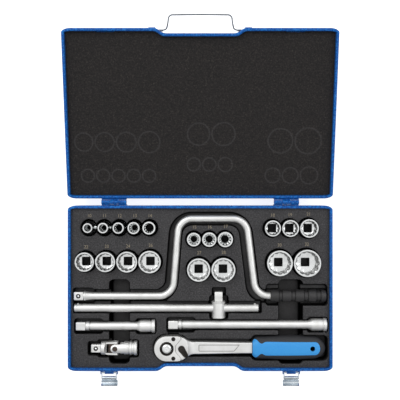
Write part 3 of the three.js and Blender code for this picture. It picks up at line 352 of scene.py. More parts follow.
def hammerEnamel():
    # blue hammer-finish enamel on steel: sprayed, it draws into 2 to 3 mm dimples, with painted shade in their
    # hollows, painted light on their crests and a scatter of painted glints
    material, tree, shader, coords = newFinish("blueHammerEnamel", Metallic=0.2,
                                               Roughness=enamel["roughness"], Specular_IOR_Level=0.25)
    cells = addNode(tree, "ShaderNodeTexVoronoi", {"feature": "SMOOTH_F1"}, {
        "Vector": coords, "Scale": perMillimetre(enamel["dimple"]), "Smoothness": 0.6, "Randomness": 1.0})
    fine = addNode(tree, "ShaderNodeTexNoise", None, {
        "Vector": coords, "Scale": perMillimetre(enamel["glintSpeck"]), "Detail": 3})
    patches = addNode(tree, "ShaderNodeTexNoise", None, {
        "Vector": coords, "Scale": perMillimetre(enamel["patch"])})
    blue = addNode(tree, "ShaderNodeValToRGB", None, {"Fac": (cells, "Distance")}, [
        (0.1, colour(enamel["hollow"])), (0.45, colour(enamel["face"])), (0.8, colour(enamel["crest"]))])
    glintSpeck = addNode(tree, "ShaderNodeValToRGB", None, {"Fac": (fine, "Fac")}, [(0.58, 0.0), (0.7, 1.0)])
    glintAmount = addNode(tree, "ShaderNodeMath", {"operation": "MULTIPLY"}, {
        0: (glintSpeck, "Color"), 1: (patches, "Fac")})
    mixed = addNode(tree, "ShaderNodeMix", {"data_type": "RGBA"}, {
        0: (glintAmount, 0), 6: (blue, "Color"), 7: colour(enamel["glint"])})
    relief = addNode(tree, "ShaderNodeBump", None, {
        "Height": (cells, "Distance"), "Strength": 0.55, "Distance": enamel["relief"] * metre})
    feed(shader, {"Base Color": (mixed, 2), "Normal": (relief, "Normal")})
    return material


# the two deep colours and the corner colour are painted shade: darker with depth and at the walls' feet
styrene = {"sand": 2.2, "cloud": 24, "pit": "#1a191b", "face": "#2d2c2e", "grit": "#515052",
           "shadedPit": "#1e1d1e", "shadedGrit": "#333233", "corner": "#050505", "relief": 0.25}


def trayStyrene():
    # vacuum-formed black polystyrene: a sand grain on a charcoal sheet, with painted shade that darkens with
    # depth and at the walls' feet; the real grain is finer than 2 mm and is drawn that coarse so that it shows
    material, tree, shader, coords = newFinish("formedStyrene", Roughness=0.62)
    sand = addNode(tree, "ShaderNodeTexNoise", None, {
        "Vector": coords, "Scale": perMillimetre(styrene["sand"]), "Detail": 4, "Roughness": 0.75})
    broad = addNode(tree, "ShaderNodeTexNoise", None, {
        "Vector": coords, "Scale": perMillimetre(styrene["cloud"])})
    face = addNode(tree, "ShaderNodeValToRGB", None, {"Fac": (sand, "Fac")}, [
        (0.36, colour(styrene["pit"])), (0.5, colour(styrene["face"])), (0.66, colour(styrene["grit"]))])
    deep = addNode(tree, "ShaderNodeValToRGB", None, {"Fac": (sand, "Fac")}, [
        (0.3, colour(styrene["shadedPit"])), (0.75, colour(styrene["shadedGrit"]))])
    drawn = addNode(tree, "ShaderNodeAttribute", {"attribute_name": "drawn"})
    mixed = addNode(tree, "ShaderNodeMix", {"data_type": "RGBA"}, {
        0: (drawn, "Fac"), 6: (face, "Color"), 7: (deep, "Color")})
    recess, shaded = shadeRecess(tree, (mixed, 2), styrene["corner"])
    # painted shade also takes the sheen away
    shine = addNode(tree, "ShaderNodeMix", None, {0: recess, 2: 0.5, 3: 0.0})
    rough = addNode(tree, "ShaderNodeValToRGB", None, {"Fac": (broad, "Fac")}, [(0.3, 0.56), (0.7, 0.7)])
    relief = addNode(tree, "ShaderNodeBump", None, {
        "Height": (sand, "Fac"), "Strength": 0.5, "Distance": styrene["relief"] * metre})
    feed(shader, {"Base Color": shaded, "Specular IOR Level": (shine, 0), "Roughness": (rough, "Color"),
                  "Normal": (relief, "Normal")})
    return material


openFoam = {"pore": 2.4, "cloud": 60, "pit": "#0b0a0a", "dark": "#1e1b1b", "wall": "#312d2b",
            "pale": "#58534e", "pressed": "#4c4a4b", "relief": 0.5}


def liningFoam():
    # cut polyurethane foam, warm black with paler cell walls; its pores of about a millimetre are drawn twice
    # as coarse so that they show
    material, tree, shader, coords = newFinish("openCellFoam", Roughness=0.95, Sheen_Weight=0.15)
    pores = addNode(tree, "ShaderNodeTexNoise", None, {
        "Vector": coords, "Scale": perMillimetre(openFoam["pore"]), "Detail": 4, "Roughness": 0.8})
    clouds = addNode(tree, "ShaderNodeTexNoise", None, {
        "Vector": coords, "Scale": perMillimetre(openFoam["cloud"]), "Detail": 3})
    dark = addNode(tree, "ShaderNodeValToRGB", None, {"Fac": (pores, "Fac")}, [
        (0.36, colour(openFoam["pit"])), (0.5, colour(openFoam["dark"])), (0.62, colour(openFoam["wall"])),
        (0.74, colour(openFoam["pale"]))])
    pressed = addNode(tree, "ShaderNodeAttribute", {"attribute_name": "pressed"})
    worn = addNode(tree, "ShaderNodeMath", {"operation": "MULTIPLY"}, {
        0: (pressed, "Fac"), 1: (pores, "Fac")})
    mixed = addNode(tree, "ShaderNodeMix", {"data_type": "RGBA"}, {
        0: (worn, 0), 6: (dark, "Color"), 7: colour(openFoam["pressed"])})
    tall = addNode(tree, "ShaderNodeMath", {"operation": "ADD"}, {0: (pores, "Fac"), 1: (clouds, "Fac")})
    relief = addNode(tree, "ShaderNodeBump", None, {
        "Height": (tall, 0), "Strength": 0.7, "Distance": openFoam["relief"] * metre})
    feed(shader, {"Base Color": (mixed, 2), "Normal": (relief, "Normal")})
    return material


def brushedFinish(name, base, dull, size, rough, depth, strength=0.25, metallic=1.0):
    # plated steel: the plating takes the grain of the blasted or brushed steel under it, with dull smears of
    # handling 14 mm wide
    material, tree, shader, coords = newFinish(name, Metallic=metallic, Roughness=rough)
    fine = addNode(tree, "ShaderNodeTexNoise", None, {
        "Vector": coords, "Scale": perMillimetre(size), "Detail": 3, "Roughness": 0.6})
    smears = addNode(tree, "ShaderNodeTexNoise", None, {
        "Vector": coords, "Scale": perMillimetre(14), "Detail": 3})
    tone = addNode(tree, "ShaderNodeValToRGB", None, {"Fac": (smears, "Fac")}, [
        (0.3, colour(dull)), (0.62, colour(base))])
    # painted shade: darker and duller where the painted-shade mark says
    recess, shaded = shadeRecess(tree, (tone, "Color"), "#5f5e5c")
    gloss = addNode(tree, "ShaderNodeValToRGB", None, {"Fac": (fine, "Fac")}, [
        (0.3, rough * 0.8), (0.7, min(1.0, rough * 1.25))])
    matt = addNode(tree, "ShaderNodeMix", None, {0: recess, 2: (gloss, "Color"), 3: 0.5})
    relief = addNode(tree, "ShaderNodeBump", None, {
        "Height": (fine, "Fac"), "Strength": strength, "Distance": depth * metre})
    feed(shader, {"Base Color": shaded, "Roughness": (matt, 0), "Normal": (relief, "Normal")})
    return material


def mouldedFinish(name, low, high, size, rough, depth):
    # injection-moulded plastic with a spark-eroded grain
    material, tree, shader, coords = newFinish(name, Roughness=rough)
    fine = addNode(tree, "ShaderNodeTexNoise", None, {
        "Vector": coords, "Scale": perMillimetre(size), "Detail": 3, "Roughness": 0.6})
    tone = addNode(tree, "ShaderNodeValToRGB", None, {"Fac": (fine, "Fac")}, [
        (0.3, colour(low)), (0.7, colour(high))])
    # painted shade: near black where the painted-shade mark says
    _, shaded = shadeRecess(tree, (tone, "Color"), "#0d0d0d")
    relief = addNode(tree, "ShaderNodeBump", None, {
        "Height": (fine, "Fac"), "Strength": 0.35, "Distance": depth * metre})
    feed(shader, {"Base Color": shaded, "Normal": (relief, "Normal")})
    return material


finishes = {
    "enamel": hammerEnamel(),
    "tray": trayStyrene(),
    "foam": liningFoam(),
    # polished chrome on the sockets, satin chrome on the drive tools
    "chrome": brushedFinish("polishedChrome", "#eceeee", "#d9dbdb", 0.9, 0.16, 0.02),
    "satin": brushedFinish("satinChrome", "#eaeae9", "#dededc", 0.8, 0.44, 0.04, metallic=0.8),
    # passivated zinc on the latches, with a cold blue cast, and a dull one on the handle
    "zinc": brushedFinish("blueZinc", "#d3dae0", "#aab4bc", 1.2, 0.24, 0.03, 0.3),
    "strap": brushedFinish("dullZincStrap", "#70767b", "#50565b", 1.4, 0.34, 0.04, 0.3),
    # black oxide on screws, selector and the wheel's band, and as painted shade on the dark rings round the
    # detent balls
    "oxide": brushedFinish("blackOxide", "#3a3735", "#211f1e", 1.0, 0.42, 0.04),
    # the joint's cross is oiled brown-black, the grips are plastic with a matt grain
    "crossOxide": brushedFinish("brownOxide", "#5c514b", "#443c38", 1.0, 0.5, 0.04),
    "handle": mouldedFinish("blackPolypropylene", "#242324", "#353435", 1.0, 0.5, 0.08),
    "gripGrey": mouldedFinish("greySoftGrip", "#242427", "#323337", 1.1, 0.62, 0.1),
    "gripBlue": mouldedFinish("azurePolypropylene", "#39a7ff", "#48b5ff", 1.4, 0.42, 0.05),
    "print": mouldedFinish("paleGoldInk", "#8f836e", "#a99d87", 0.6, 0.5, 0.02),
}
say("finishes")

case = {"bayMouth": 131, "bayFloor": 111, "bayDepth": 7.7, "bayRound": 5, "across": 14, "along": 7,
        "sheet": 1.0, "hem": 4.7, "foot": 3.0, "lip": 6.7, "lidLip": 7.0, "cornerSteps": 12,
        "seam": 0.3, "lidHeight": 18, "swing": -168, "slotWidth": 27.4, "slotLow": 47.7, "slotHigh": 51.7}
caseHalf = nodeBox("case_base")[1][:2]
rim = nodeBox("case_base")[1][2]
hinge = middleOf("hinge_pin_left")
lidRim = rim + case["seam"]
lidTop = lidRim + case["lidHeight"]
frontFace = -caseHalf[1]
latchX = middleOf("latch_bracket_right")[0]
hingeX = middleOf("hinge_pin_right")[0]


def casePlan(inset):
    # the plan moved in by inset: the bay's slanted corners, then four quarter ellipses (a cos t, b sin t)
    x, y = caseHalf - inset
    a, b = case["across"] - inset, case["along"] - inset
    slope = math.atan2(case["bayDepth"], (case["bayMouth"] - case["bayFloor"]) / 2)
    shift = inset * math.tan(slope / 2)
    mouth, floor = case["bayMouth"] / 2 + shift, case["bayFloor"] / 2 + shift
    top = case["bayDepth"] - y
    t = np.linspace(0, turn / 4, case["cornerSteps"])[:, None]
    bay = [(-x * 0.7, -y), (-mouth, -y), (-floor, top), (floor, top), (mouth, -y), (x * 0.7, -y)]
    front = roundLine(bay, case["bayRound"], 6)
    quarter = np.concatenate([a * np.cos(t), b * np.sin(t)], 1)
    corners = [
        quarter[::-1] * (1, -1) + (x - a, b - y),
        quarter + (x - a, y - b),
        quarter[::-1] * (-1, 1) + (a - x, y - b),
        quarter * (-1, -1) + (a - x, b - y),
    ]
    return np.concatenate([front] + corners)


def shellProfile(height, lip):
    # (inset, height) round the folded sheet: under the foot, up the wall, over the rolled rim, down its lip
    # and back inside
    s, h, f = case["sheet"], case["hem"], case["foot"]
    corners = [(f + 8, 0), (0, 0), (0, height), (h, height), (h, height - lip), (h - s, height - lip),
               (h - s, height - s), (s, height - s), (s, s), (f + 8, s)]
    return roundLine(corners, [0, f, 2.2, 1.4, 0.3, 0.3, 0.4, 0.8, f - s, 0], 7)


def carryRound(profile, flip=None):
    # the plan at each station's inset and height; the lid lies upside down, so its heights count down from
    # flip
    rings = []
    for inset, height in profile:
        plan = casePlan(inset)
        tall = flip - height if flip is not None else height
        rings.append(np.column_stack([plan, np.full(len(plan), tall)]))
    return surface(np.array(rings))


def swung(part):
    # what is drawn on the closed lid, turned to the open one about the hinge's line
    return tilted(part, (0, hinge[1], hinge[2]), case["swing"])


def makeBase():
    # the folded shell that stands on the table
    piece = makeObject("caseBase", [carryRound(shellProfile(rim, case["lip"]))])
    finishPiece(piece, finishes["enamel"], "case", ["case_base"])


def makeLid():
    # the same shell, with a slot for each latch's lip
    shell = carryRound(shellProfile(case["lidHeight"], case["lidLip"]), flip=lidTop)
    piece = makeObject("caseLid", [swung(shell)])
    half, low, high = case["slotWidth"] / 2, case["slotLow"], case["slotHigh"]
    cutBy(piece, [swung(cuboid(x - half, x + half, frontFace - 3, frontFace + 2.2, low, high))
                  for x in (-latchX, latchX)])
    finishPiece(piece, finishes["enamel"], "lid", ["case_lid"])


makeBase()
makeLid()
say("case")


lining = {"top": rim - 7, "bottom": 1.3, "edge": 1.3, "grid": 1.15, "draft": 0.5, "lipDrop": 0.35,
          "wellGap": 3.0, "snug": 1.6, "fingerStep": 8, "fingerFloor": 12, "shadeWidth": 1.6}


def boxDistance(x, y, x0, x1, y0, y1, corner):
    # signed distance of a rounded rectangle: |max(q, 0)| + min(max(qx, qy), 0) - r
    qx = np.abs(x - (x0 + x1) / 2) - ((x1 - x0) / 2 - corner)
    qy = np.abs(y - (y0 + y1) / 2) - ((y1 - y0) / 2 - corner)
    return np.hypot(np.maximum(qx, 0), np.maximum(qy, 0)) + np.minimum(np.maximum(qx, qy), 0) - corner


def pathDistance(x, y, path):
    # distance to the nearest segment AB: |P - A - t(B - A)| with t = clamp((P - A).(B - A) / |B - A|^2)
    nearest = np.full(x.shape, 1e9)
    for (ax, ay), (bx, by) in zip(path[:-1], path[1:]):
        dx, dy = bx - ax, by - ay
        t = np.clip(((x - ax) * dx + (y - ay) * dy) / (dx * dx + dy * dy), 0, 1)
        nearest = np.minimum(nearest, np.hypot(x - ax - t * dx, y - ay - t * dy))
    return nearest


def planDistance(x, y, inset):
    # signed distance of the case's plan moved in by inset: the rounded box less the bay
    halfX, halfY = caseHalf - inset
    outer = boxDistance(x, y, -halfX, halfX, -halfY, halfY, 6)
    rise, run = case["bayDepth"], (case["bayMouth"] - case["bayFloor"]) / 2
    slant = (case["bayFloor"] / 2 - np.abs(x)) * rise + (case["bayDepth"] - halfY - inset - y) * run
    slant = slant / math.hypot(rise, run) + inset
    bay = np.minimum(slant, case["bayDepth"] - caseHalf[1] + inset - y)
    return np.maximum(outer, bay)


def besideWall(inside):
    # grid points with a neighbour on the other side of the wall
    beside = np.zeros(inside.shape, bool)
    beside[1:] |= inside[1:] != inside[:-1]
    beside[:-1] |= inside[1:] != inside[:-1]
    beside[:, 1:] |= inside[:, 1:] != inside[:, :-1]
    beside[:, :-1] |= inside[:, 1:] != inside[:, :-1]
    return beside


def wallsOf(fields):
    # for each floor level the distance to the wall round all that lies as deep or deeper
    return [(level, np.minimum.reduce([d for d, floor in fields if floor <= level + 1e-6]))
            for level in sorted({floor for _, floor in fields})]


def quadFaces(z, cell):
    # the cells of a height grid as quads; a cell that isn't flat is halved along its more level diagonal
    index = np.arange(z.size).reshape(z.shape)
    quads = np.stack([index[:-1, :-1], index[:-1, 1:], index[1:, 1:], index[1:, :-1]], -1)[cell]
    tall = z.ravel()[quads]
    flat = np.ptp(tall, axis=1) < 0.5
    steep, tall = quads[~flat], tall[~flat]
    first = np.abs(tall[:, 0] - tall[:, 2]) <= np.abs(tall[:, 1] - tall[:, 3])
    one, two = steep[first], steep[~first]
    triangles = np.concatenate([one[:, [0, 1, 2]], one[:, [0, 2, 3]], two[:, [0, 1, 3]], two[:, [1, 2, 3]]])
    return quads[flat].tolist() + triangles.tolist()


def formedSheet(spacing, top, pockets, outline, draft=0.0, drop=0.0):
    # height z(x, y) is the lowest floor among the pockets that hold the point, else the top. A point beside a
    # wall moves onto it along the distance's gradient: P - (d - t) grad d, t = 0 above and -draft below, and
    # the upper one goes down by drop, which rounds the lip.
    half = caseHalf + spacing
    counts = np.ceil(2 * half / spacing).astype(int)
    x, y = np.meshgrid(np.linspace(-half[0], half[0], counts[0]), np.linspace(-half[1], half[1], counts[1]))
    stepX, stepY = x[0, 1] - x[0, 0], y[1, 0] - y[0, 0]
    fields = [(distance(x, y), floor) for distance, floor in pockets]
    z = np.full(x.shape, float(top))
    for d, floor in fields:
        z = np.where(d < 0, np.minimum(z, floor), z)
    px, py, best = x.copy(), y.copy(), np.full(x.shape, 1e9)
    dropped = np.zeros(x.shape)
    for _, d in wallsOf(fields):
        inside = d < 0
        beside = besideWall(inside) & (np.abs(d) < best)
        gy, gx = np.gradient(d, stepY, stepX)
        size = np.maximum(np.hypot(gx, gy), 0.3)
        step = d + np.where(inside, draft, 0)
        px = np.where(beside, x - step * gx / size ** 2, px)
        py = np.where(beside, y - step * gy / size ** 2, py)
        dropped = np.where(beside & ~inside, drop, np.where(beside, 0, dropped))
        best = np.where(beside, np.abs(d), best)
    # the sheet ends at the outline: the cells that it touches are kept and their outer points move onto it
    border = outline(x, y)
    within = border < 0
    cell = within[:-1, :-1] | within[1:, :-1] | within[:-1, 1:] | within[1:, 1:]
    used = np.zeros(x.shape, bool)
    for rows in (slice(None, -1), slice(1, None)):
        for columns in (slice(None, -1), slice(1, None)):
            used[rows, columns] |= cell
    edge = used & ~within
    gy, gx = np.gradient(border, stepY, stepX)
    px = np.where(edge, x - border * gx, px)
    py = np.where(edge, y - border * gy, py)
    z = z - dropped
    return np.stack([px, py, z], -1).reshape(-1, 3), quadFaces(z, cell)


def closeBelow(piece, bottom):
    # drops the sheet's border to the bottom and closes it there
    def steps(shell):
        loose = [vert for vert in shell.verts if not vert.link_faces]
        bmesh.ops.delete(shell, geom=loose, context="VERTS")
        border = [edge for edge in shell.edges if len(edge.link_faces) == 1]
        made = bmesh.ops.extrude_edge_only(shell, edges=border)["geom"]
        for vert in [item for item in made if isinstance(item, bmesh.types.BMVert)]:
            vert.co.z = bottom * metre
        lower = [item for item in made if isinstance(item, bmesh.types.BMEdge) and len(item.link_faces) == 1]
        bmesh.ops.holes_fill(shell, edges=lower, sides=0)
        bmesh.ops.triangulate(shell, faces=[face for face in shell.faces if len(face.verts) > 4])

    reworked(piece.data, steps)


sockets = []
for node in sorted(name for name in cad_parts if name.startswith("socket_")):
    low, high = nodeBox(node)
    sockets.append({"node": node, "size": int(node.split("_")[1]), "x": (low[0] + high[0]) / 2,
                    "y": (low[1] + high[1]) / 2, "low": low[2], "top": high[2], "widest": high[0] - low[0]})

# what the tools share: the 12.7 mm square drive with its detent ball, and the opening that takes it
drive = {"half": 6.35, "length": 15, "ball": 2.2, "ballProud": 0.8, "ballFromEnd": 7.5, "opening": 6.48,
         "openingRim": 7.4, "openingDepth": 15}
brace = {"rod": 5.75, "crankLow": (-43.5, 88), "crankHigh": (-33.5, 73), "bend": 21}
bar = {"radius": 6.25}

# the lines that the tools lie on
axisHeight = sum(corner[2] for corner in nodeBox("extension_long")) / 2
braceStart, braceEnd = nodeBox("brace_crank")[0][0], nodeBox("brace_grip")[1][0]
braceLine = sum(corner[1] for corner in nodeBox("brace_grip")) / 2
braceTop = nodeBox("brace_crank")[1][1] - brace["rod"]
gripStart = nodeBox("brace_grip")[0][0]
barStart, barLine = nodeBox("t_bar")[0][0], nodeBox("t_bar")[0][1] + bar["radius"]
barEnd = nodeBox("t_bar")[1][0]
sliderX = middleOf("t_slider")[0]
extensions = {}
for node in ("extension_short", "extension_long"):
    low, high = nodeBox(node)
    extensions[node] = (low[0], high[0], (low[1] + high[1]) / 2)
jointAt = middleOf("joint_cross")
jointStart, jointEnd = nodeBox("joint_drive_yoke")[0][0], nodeBox("joint_socket_yoke")[1][0]
ratchetAt = middleOf("ratchet_drive")
gripLow, gripHigh = nodeBox("ratchet_grip")


def braceLinePath(start, end, bend, slide=0.0, steps=13):
    # the crank's middle line: along the grip's line, up the slanted legs and over the top, with round bends
    low, high = brace["crankLow"], brace["crankHigh"]
    corners = [(start, braceLine), (low[0] + slide, braceLine), (high[0] + slide, braceTop),
               (high[1] + slide, braceTop), (low[1] + slide, braceLine), (end, braceLine)]
    return roundLine(corners, bend, steps)


def trayPockets():
    # each pocket is a signed distance and a floor; boxes are given by their margins round the tool in them
    snug, axis = lining["snug"], axisHeight
    pockets = []

    def add(floor, distance, *values):
        pockets.append((lambda x, y: distance(x, y, *values), floor))

    def box(below, start, end, line, right, left, corner):
        add(axis - below, boxDistance, start, end, line - right, line + left, corner)

    def well(x, y, atX, atY, radius):
        return np.hypot(x - atX, y - atY) - radius

    for socket in sockets:
        add(socket["low"] - 0.3, well, socket["x"], socket["y"], socket["widest"] / 2 + lining["wellGap"])
    # the brace lies against the right side of a channel that is wider than its rod
    path = braceLinePath(braceStart + 12, braceEnd - 80, bend=24, slide=-3.4)
    add(axis - 6.1, lambda x, y: pathDistance(x, y, path) - 11.2)
    box(7.9, braceStart - 2, braceStart + 33, braceLine, 12, 13.5, 5)  # its square
    box(10.3, gripStart - 8, braceEnd + snug, braceLine, 15.5, 11.5, 5)  # its grip
    box(3.5, gripStart - 8, braceEnd + snug, braceLine, 15.5, 19.5, 6)  # a ledge beside the grip
    # the sliding bar, its slider's body and the slider's square
    box(6.6, barStart - snug, barEnd + 5, barLine, 8.2, 12, 3)
    box(11.2, sliderX - 15.1, sliderX + 15.9, barLine, 17.1, 21, 4)
    box(10.1, sliderX - 11.0, sliderX + 12.0, barLine, 0, 33.5, 3)
    # the extensions: wide round the square and the head, snug between
    for start, end, line in extensions.values():
        box(7.5, start - 3, end + snug, line, 8.8, 8.8, 3)
        box(8.6, start - 3.2, start + 43, line, 12.6, 12.6, 5)
        box(11.3, end - 31, end + 2.4, line, 13, 13, 5)
    # the universal joint, narrower round its square
    box(12, jointStart - 5.9, jointEnd, jointAt[1], 11.6, 11.6, 4)
    box(12, jointStart + 8.8, jointEnd + 3.5, jointAt[1], 14.7, 14.7, 5)
    # the ratchet: its head, its shank, its drive square and its grip
    atX, atY = ratchetAt[:2]
    add(axis - 8.2, lambda x, y: pathDistance(x, y, [(atX, atY), (atX + 15, atY)]) - 22.5)
    box(8.2, atX, gripLow[0] + 4, atY, 14.5, 14.5, 5)
    add(axis - 24.5, well, atX, atY, 12)
    box(14.3, gripLow[0] - 2.5, gripHigh[0] + 2.5, atY, 20.6, 20.6, 9)
    # two deep channels with a step round them let fingers lift the tools out
    for x0, x1, left, right in ((-141.6, -111.4, 2.6, 0.6), (123.4, 159.2, 0.6, 3.3)):
        add(lining["top"] - lining["fingerStep"], boxDistance, x0 - left, x1 + right, -119.9,
            braceLine + 26.6, 7.6)
        add(lining["fingerFloor"], boxDistance, x0, x1, -119.3, braceLine + 26, 7)
    return pockets


def makeTray():
    # the formed sheet with a skirt down to the base, marked with painted shade by depth and at the foot of the
    # walls
    top, edge = lining["top"], lining["edge"]
    pockets = trayPockets()
    sheet = formedSheet(lining["grid"], top, pockets, lambda x, y: planDistance(x, y, edge), lining["draft"],
                        lining["lipDrop"])
    tray = makeObject("formedTray", [sheet])
    closeBelow(tray, lining["bottom"])
    x, y, z = spotsOf(tray.data).T
    # painted shade that deepens with depth below the top
    markPoints(tray, "drawn", np.clip((top - z - 0.5) / 9, 0, 1))
    # painted shade at the foot of every wall: exp(-(d / w)^2) at a distance d inside the wall of each level
    shade = np.zeros(len(x))
    for level, d in wallsOf([(distance(x, y), floor) for distance, floor in pockets]):
        foot = np.exp(-(np.minimum(d + 1.2, 0) / lining["shadeWidth"]) ** 2)
        shade = np.maximum(shade, foot * (d < 0.2) * (z < level + 0.6))
    # the finger channels' ledge gets full painted shade, the rest the wall-foot painted shade
    markRecess(tray, np.where(np.abs(z - (top - lining["fingerStep"])) < 0.4, 1.0, shade))
    finishPiece(tray, finishes["tray"], "case", ["tool_tray"], 40)


foam = {"grid": 1.2, "inset": 1.3, "under": 1.3, "face": 7.3, "ring": 0.28, "ringInset": 0.8,
        "ringWidth": 0.9, "stainWidth": 1.0, "grit": 0.12, "edgeDrop": 1.0, "edgeWidth": 2.0, "notch": 32,
        "notchDepth": 6, "middle": 133, "middleDepth": 5.9}


def foamOutline(x, y):
    # signed distance of the lid's plan less a notch for each latch and one for the handle's bay
    d = planDistance(x, y, foam["inset"])
    for at, wide, deep, corner in ((-latchX, foam["notch"], foam["notchDepth"], 2),
                                   (latchX, foam["notch"], foam["notchDepth"], 2),
                                   (0, foam["middle"], foam["middleDepth"], 0.5)):
        notch = boxDistance(x, y, at - wide / 2, at + wide / 2, frontFace - 9, frontFace + deep, corner)
        d = np.maximum(d, -notch)
    return d


def printedRings(x, y, width):
    # each socket prints the ring of its mouth, radius r: the greatest exp(-((|P - C| - r) / w)^2)
    printed = np.zeros(len(x))
    for socket in sockets:
        off = np.hypot(x - socket["x"], y - socket["y"]) - socket["widest"] / 2 + foam["ringInset"]
        printed = np.maximum(printed, np.exp(-(off / width) ** 2))
    return printed


def makeFoam():
    # a pad as thick as the lid leaves room for, less the rings' dents and a fine grit; it is drawn face up
    # and then turned over into the lid
    back = lidTop - foam["under"]
    points, faces = formedSheet(foam["grid"], back - (lidRim + foam["face"]), [], foamOutline)
    rng = np.random.default_rng(4)
    dents = printedRings(points[:, 0], points[:, 1], foam["ringWidth"])
    points[:, 2] += -foam["ring"] * dents - foam["grit"] * rng.random(len(points))
    edge = foamOutline(points[:, 0], points[:, 1])
    points[:, 2] -= foam["edgeDrop"] * np.clip(1 + edge / foam["edgeWidth"], 0, 1) ** 2
    pad = makeObject("foamPad", [(points, faces)])
    closeBelow(pad, 0)
    spots = spotsOf(pad.data)
    stain = printedRings(spots[:, 0], spots[:, 1], foam["stainWidth"])
    spots[:, 2] = back - spots[:, 2]
    spots = swung((spots, None))[0]
    pad.data.vertices.foreach_set("co", (spots * metre).ravel())
    pad.data.update()
    reworked(pad.data, lambda shell: None)
    markPoints(pad, "pressed", stain)
    finishPiece(pad, finishes["foam"], "lid", ["lid_foam"], 60)


makeTray()
makeFoam()


figures = {"size": 7.4, "narrow": 0.92, "thin": 0.03, "thick": 0.06, "behind": 2.6, "aside": 0.8, "above": 0.08}


def figureShape(size):
    # the digits of a size as a thin mesh, from the font that Blender brings
    text = bpy.data.curves.new("figure", "FONT")
    text.body = str(size)
    text.size = figures["size"] * metre
    text.align_x = "CENTER"
    text.offset = -figures["thin"] * metre
    text.extrude = figures["thick"] * metre
    text.resolution_u = 4
    carrier = bpy.data.objects.new("figure", text)
    bpy.context.scene.collection.objects.link(carrier)
    bpy.context.view_layer.update()
    mesh = bpy.data.meshes.new_from_object(carrier.evaluated_get(bpy.context.evaluated_depsgraph_get()))
    shape = spotsOf(mesh), [list(face.vertices) for face in mesh.polygons]
    bpy.data.objects.remove(carrier)
    bpy.data.meshes.remove(mesh)
    bpy.data.curves.remove(text)
    return shape


def printNumbers():
    # a printed number behind each well
    parts = []
    for socket in sockets:
        spots, faces = figureShape(socket["size"])
        behind = socket["y"] + socket["widest"] / 2 + lining["wellGap"] + figures["behind"]
        place = (socket["x"] + figures["aside"], behind, lining["top"] + figures["above"])
        parts.append((spots * (figures["narrow"], 1, 1) + place, faces))
    addPiece("sizeNumbers", parts, finishes["print"], "case")


printNumbers()
say("lining")


socketShape = {"wall": 1.5, "mouthPerSize": 0.62, "driveEnd": 11.2, "driveTaper": 0.15, "starFloor": 20,
               "squareFrom": 18, "lead": 1.11, "bigLead": 1.17, "markWithin": 1.16,
               "throats": {10: 3.1, 11: 4.2, 12: 5.0, 13: 4.4, 14: 5.9, 15: 5.1, 16: 5.7, 17: 6.2}}


def socketParts(socket):
    # up the outside from the drive end, over the mouth, down through the twelve-point opening to the square
    size, low, top = socket["size"], socket["low"], socket["top"]
    big = size >= socketShape["squareFrom"]
    mouth = socketShape["wall"] + socketShape["mouthPerSize"] * size
    least = socketShape["driveEnd"]
    end = max(least, mouth - socketShape["driveTaper"] * max(0.0, 2 * mouth - 2 * least))
    length, floor = top - low, socketShape["starFloor"]
    hole, rimmed = drive["opening"], drive["opening"] + 0.5
    throat = socketShape["throats"].get(size, drive["half"])
    lead = size / 2 * (socketShape["bigLead"] if big else socketShape["lead"])
    rows = [(0, rimmed, "square"), (0, end - 0.6), (0.25, end - 0.2), (0.9, end), (15.6, end),
            (16.4, end - 0.1), (17.2, end * 0.8 + mouth * 0.2), (20.2, mouth * 0.85 + end * 0.15),
            (21.5, mouth), (length - 1.0, mouth), (length - 0.35, mouth - 0.18), (length, mouth - 0.6),
            (length, lead + 0.25), (length - 0.2, lead), (length - 1.4, size / 2 * 1.02, "star"),
            (length - 1.9, size / 2, "star"), (floor + 0.4, size / 2, "star"),
            (floor, size / 2 * 0.97, "disc")]
    if big:  # the square starts at the star's floor
        rows += [(floor - 0.3, rimmed, "square"), (floor - 0.8, hole, "square")]
    else:  # a round throat leads down to it
        rows += [(floor - 1.2, throat, "disc"), (15.3, throat, "disc"), (15, hole, "square")]
    rows += [(0.5, hole, "square")]
    return turned(rows, (socket["x"], socket["y"], low), "z", 144, wrapRows=True)


def makeSocket(socket):
    # one turned piece, with painted shade in its opening
    piece = addPiece("socket%dChrome" % socket["size"], [socketParts(socket)], finishes["chrome"],
                     socket["node"], [socket["node"]], 25)
    x, y, z = (spotsOf(piece.data) - (socket["x"], socket["y"], 0)).T
    within = np.hypot(x, y) < socket["size"] / 2 * socketShape["markWithin"]
    # painted shade, which also dulls: some on the fluted wall, little on the turned floor and full on the drive
    # opening below it
    floor = socket["low"] + socketShape["starFloor"]
    wall = 0.8 if socket["size"] >= socketShape["squareFrom"] else 0.3
    deep = np.where(z > floor + 0.2, wall, np.where(z > floor - 1.5, 0.08, 1.0))
    markRecess(piece, within * deep * (z < socket["top"] - 1.2))


for socket in sockets:
    makeSocket(socket)
say("sockets")


def squareEnd(start, root):
    # stations of a square drive from its tip to its root
    half = drive["half"]
    return [(start, 0.0), (start + 0.01, half - 1.0, "square"), (start + 0.5, half - 0.3, "square"),
            (start + 1.2, half, "square"), (root, half, "square")]


def squareOpening(end):
    # stations of a square opening from its chamfered mouth to its floor
    floor = end - drive["openingDepth"]
    return [(end, drive["openingRim"], "square"), (end - 0.8, drive["opening"], "square"),
            (floor, drive["opening"], "square"), (floor, 0)]


def ball(centre):
    # sphere: radius sqrt(r^2 - t^2) at height t
    radius = drive["ball"]
    t = np.linspace(-radius, radius, 17)
    return turned([(a, math.sqrt(max(0.0, radius ** 2 - a * a))) for a in t], centre, "z", 32)


def ballHole(at):
    # the cutter for a detent ball's seat in the top of a square
    return rod(at, 2.6, 1.3, 9)


def addBall(name, at, body, node):
    # a detent ball that stands proud of the square, and a dark ring round it that is painted shade in its seat
    addPiece(name + "BallSeatShade", [ring(at, 2.0, 3.6, 6.1, 6.45)], finishes["oxide"], body, ())
    height = at[2] + drive["half"] + drive["ballProud"] - drive["ball"]
    addPiece(name + "Ball", [ball((at[0], at[1], height))], finishes["chrome"], node, [node])


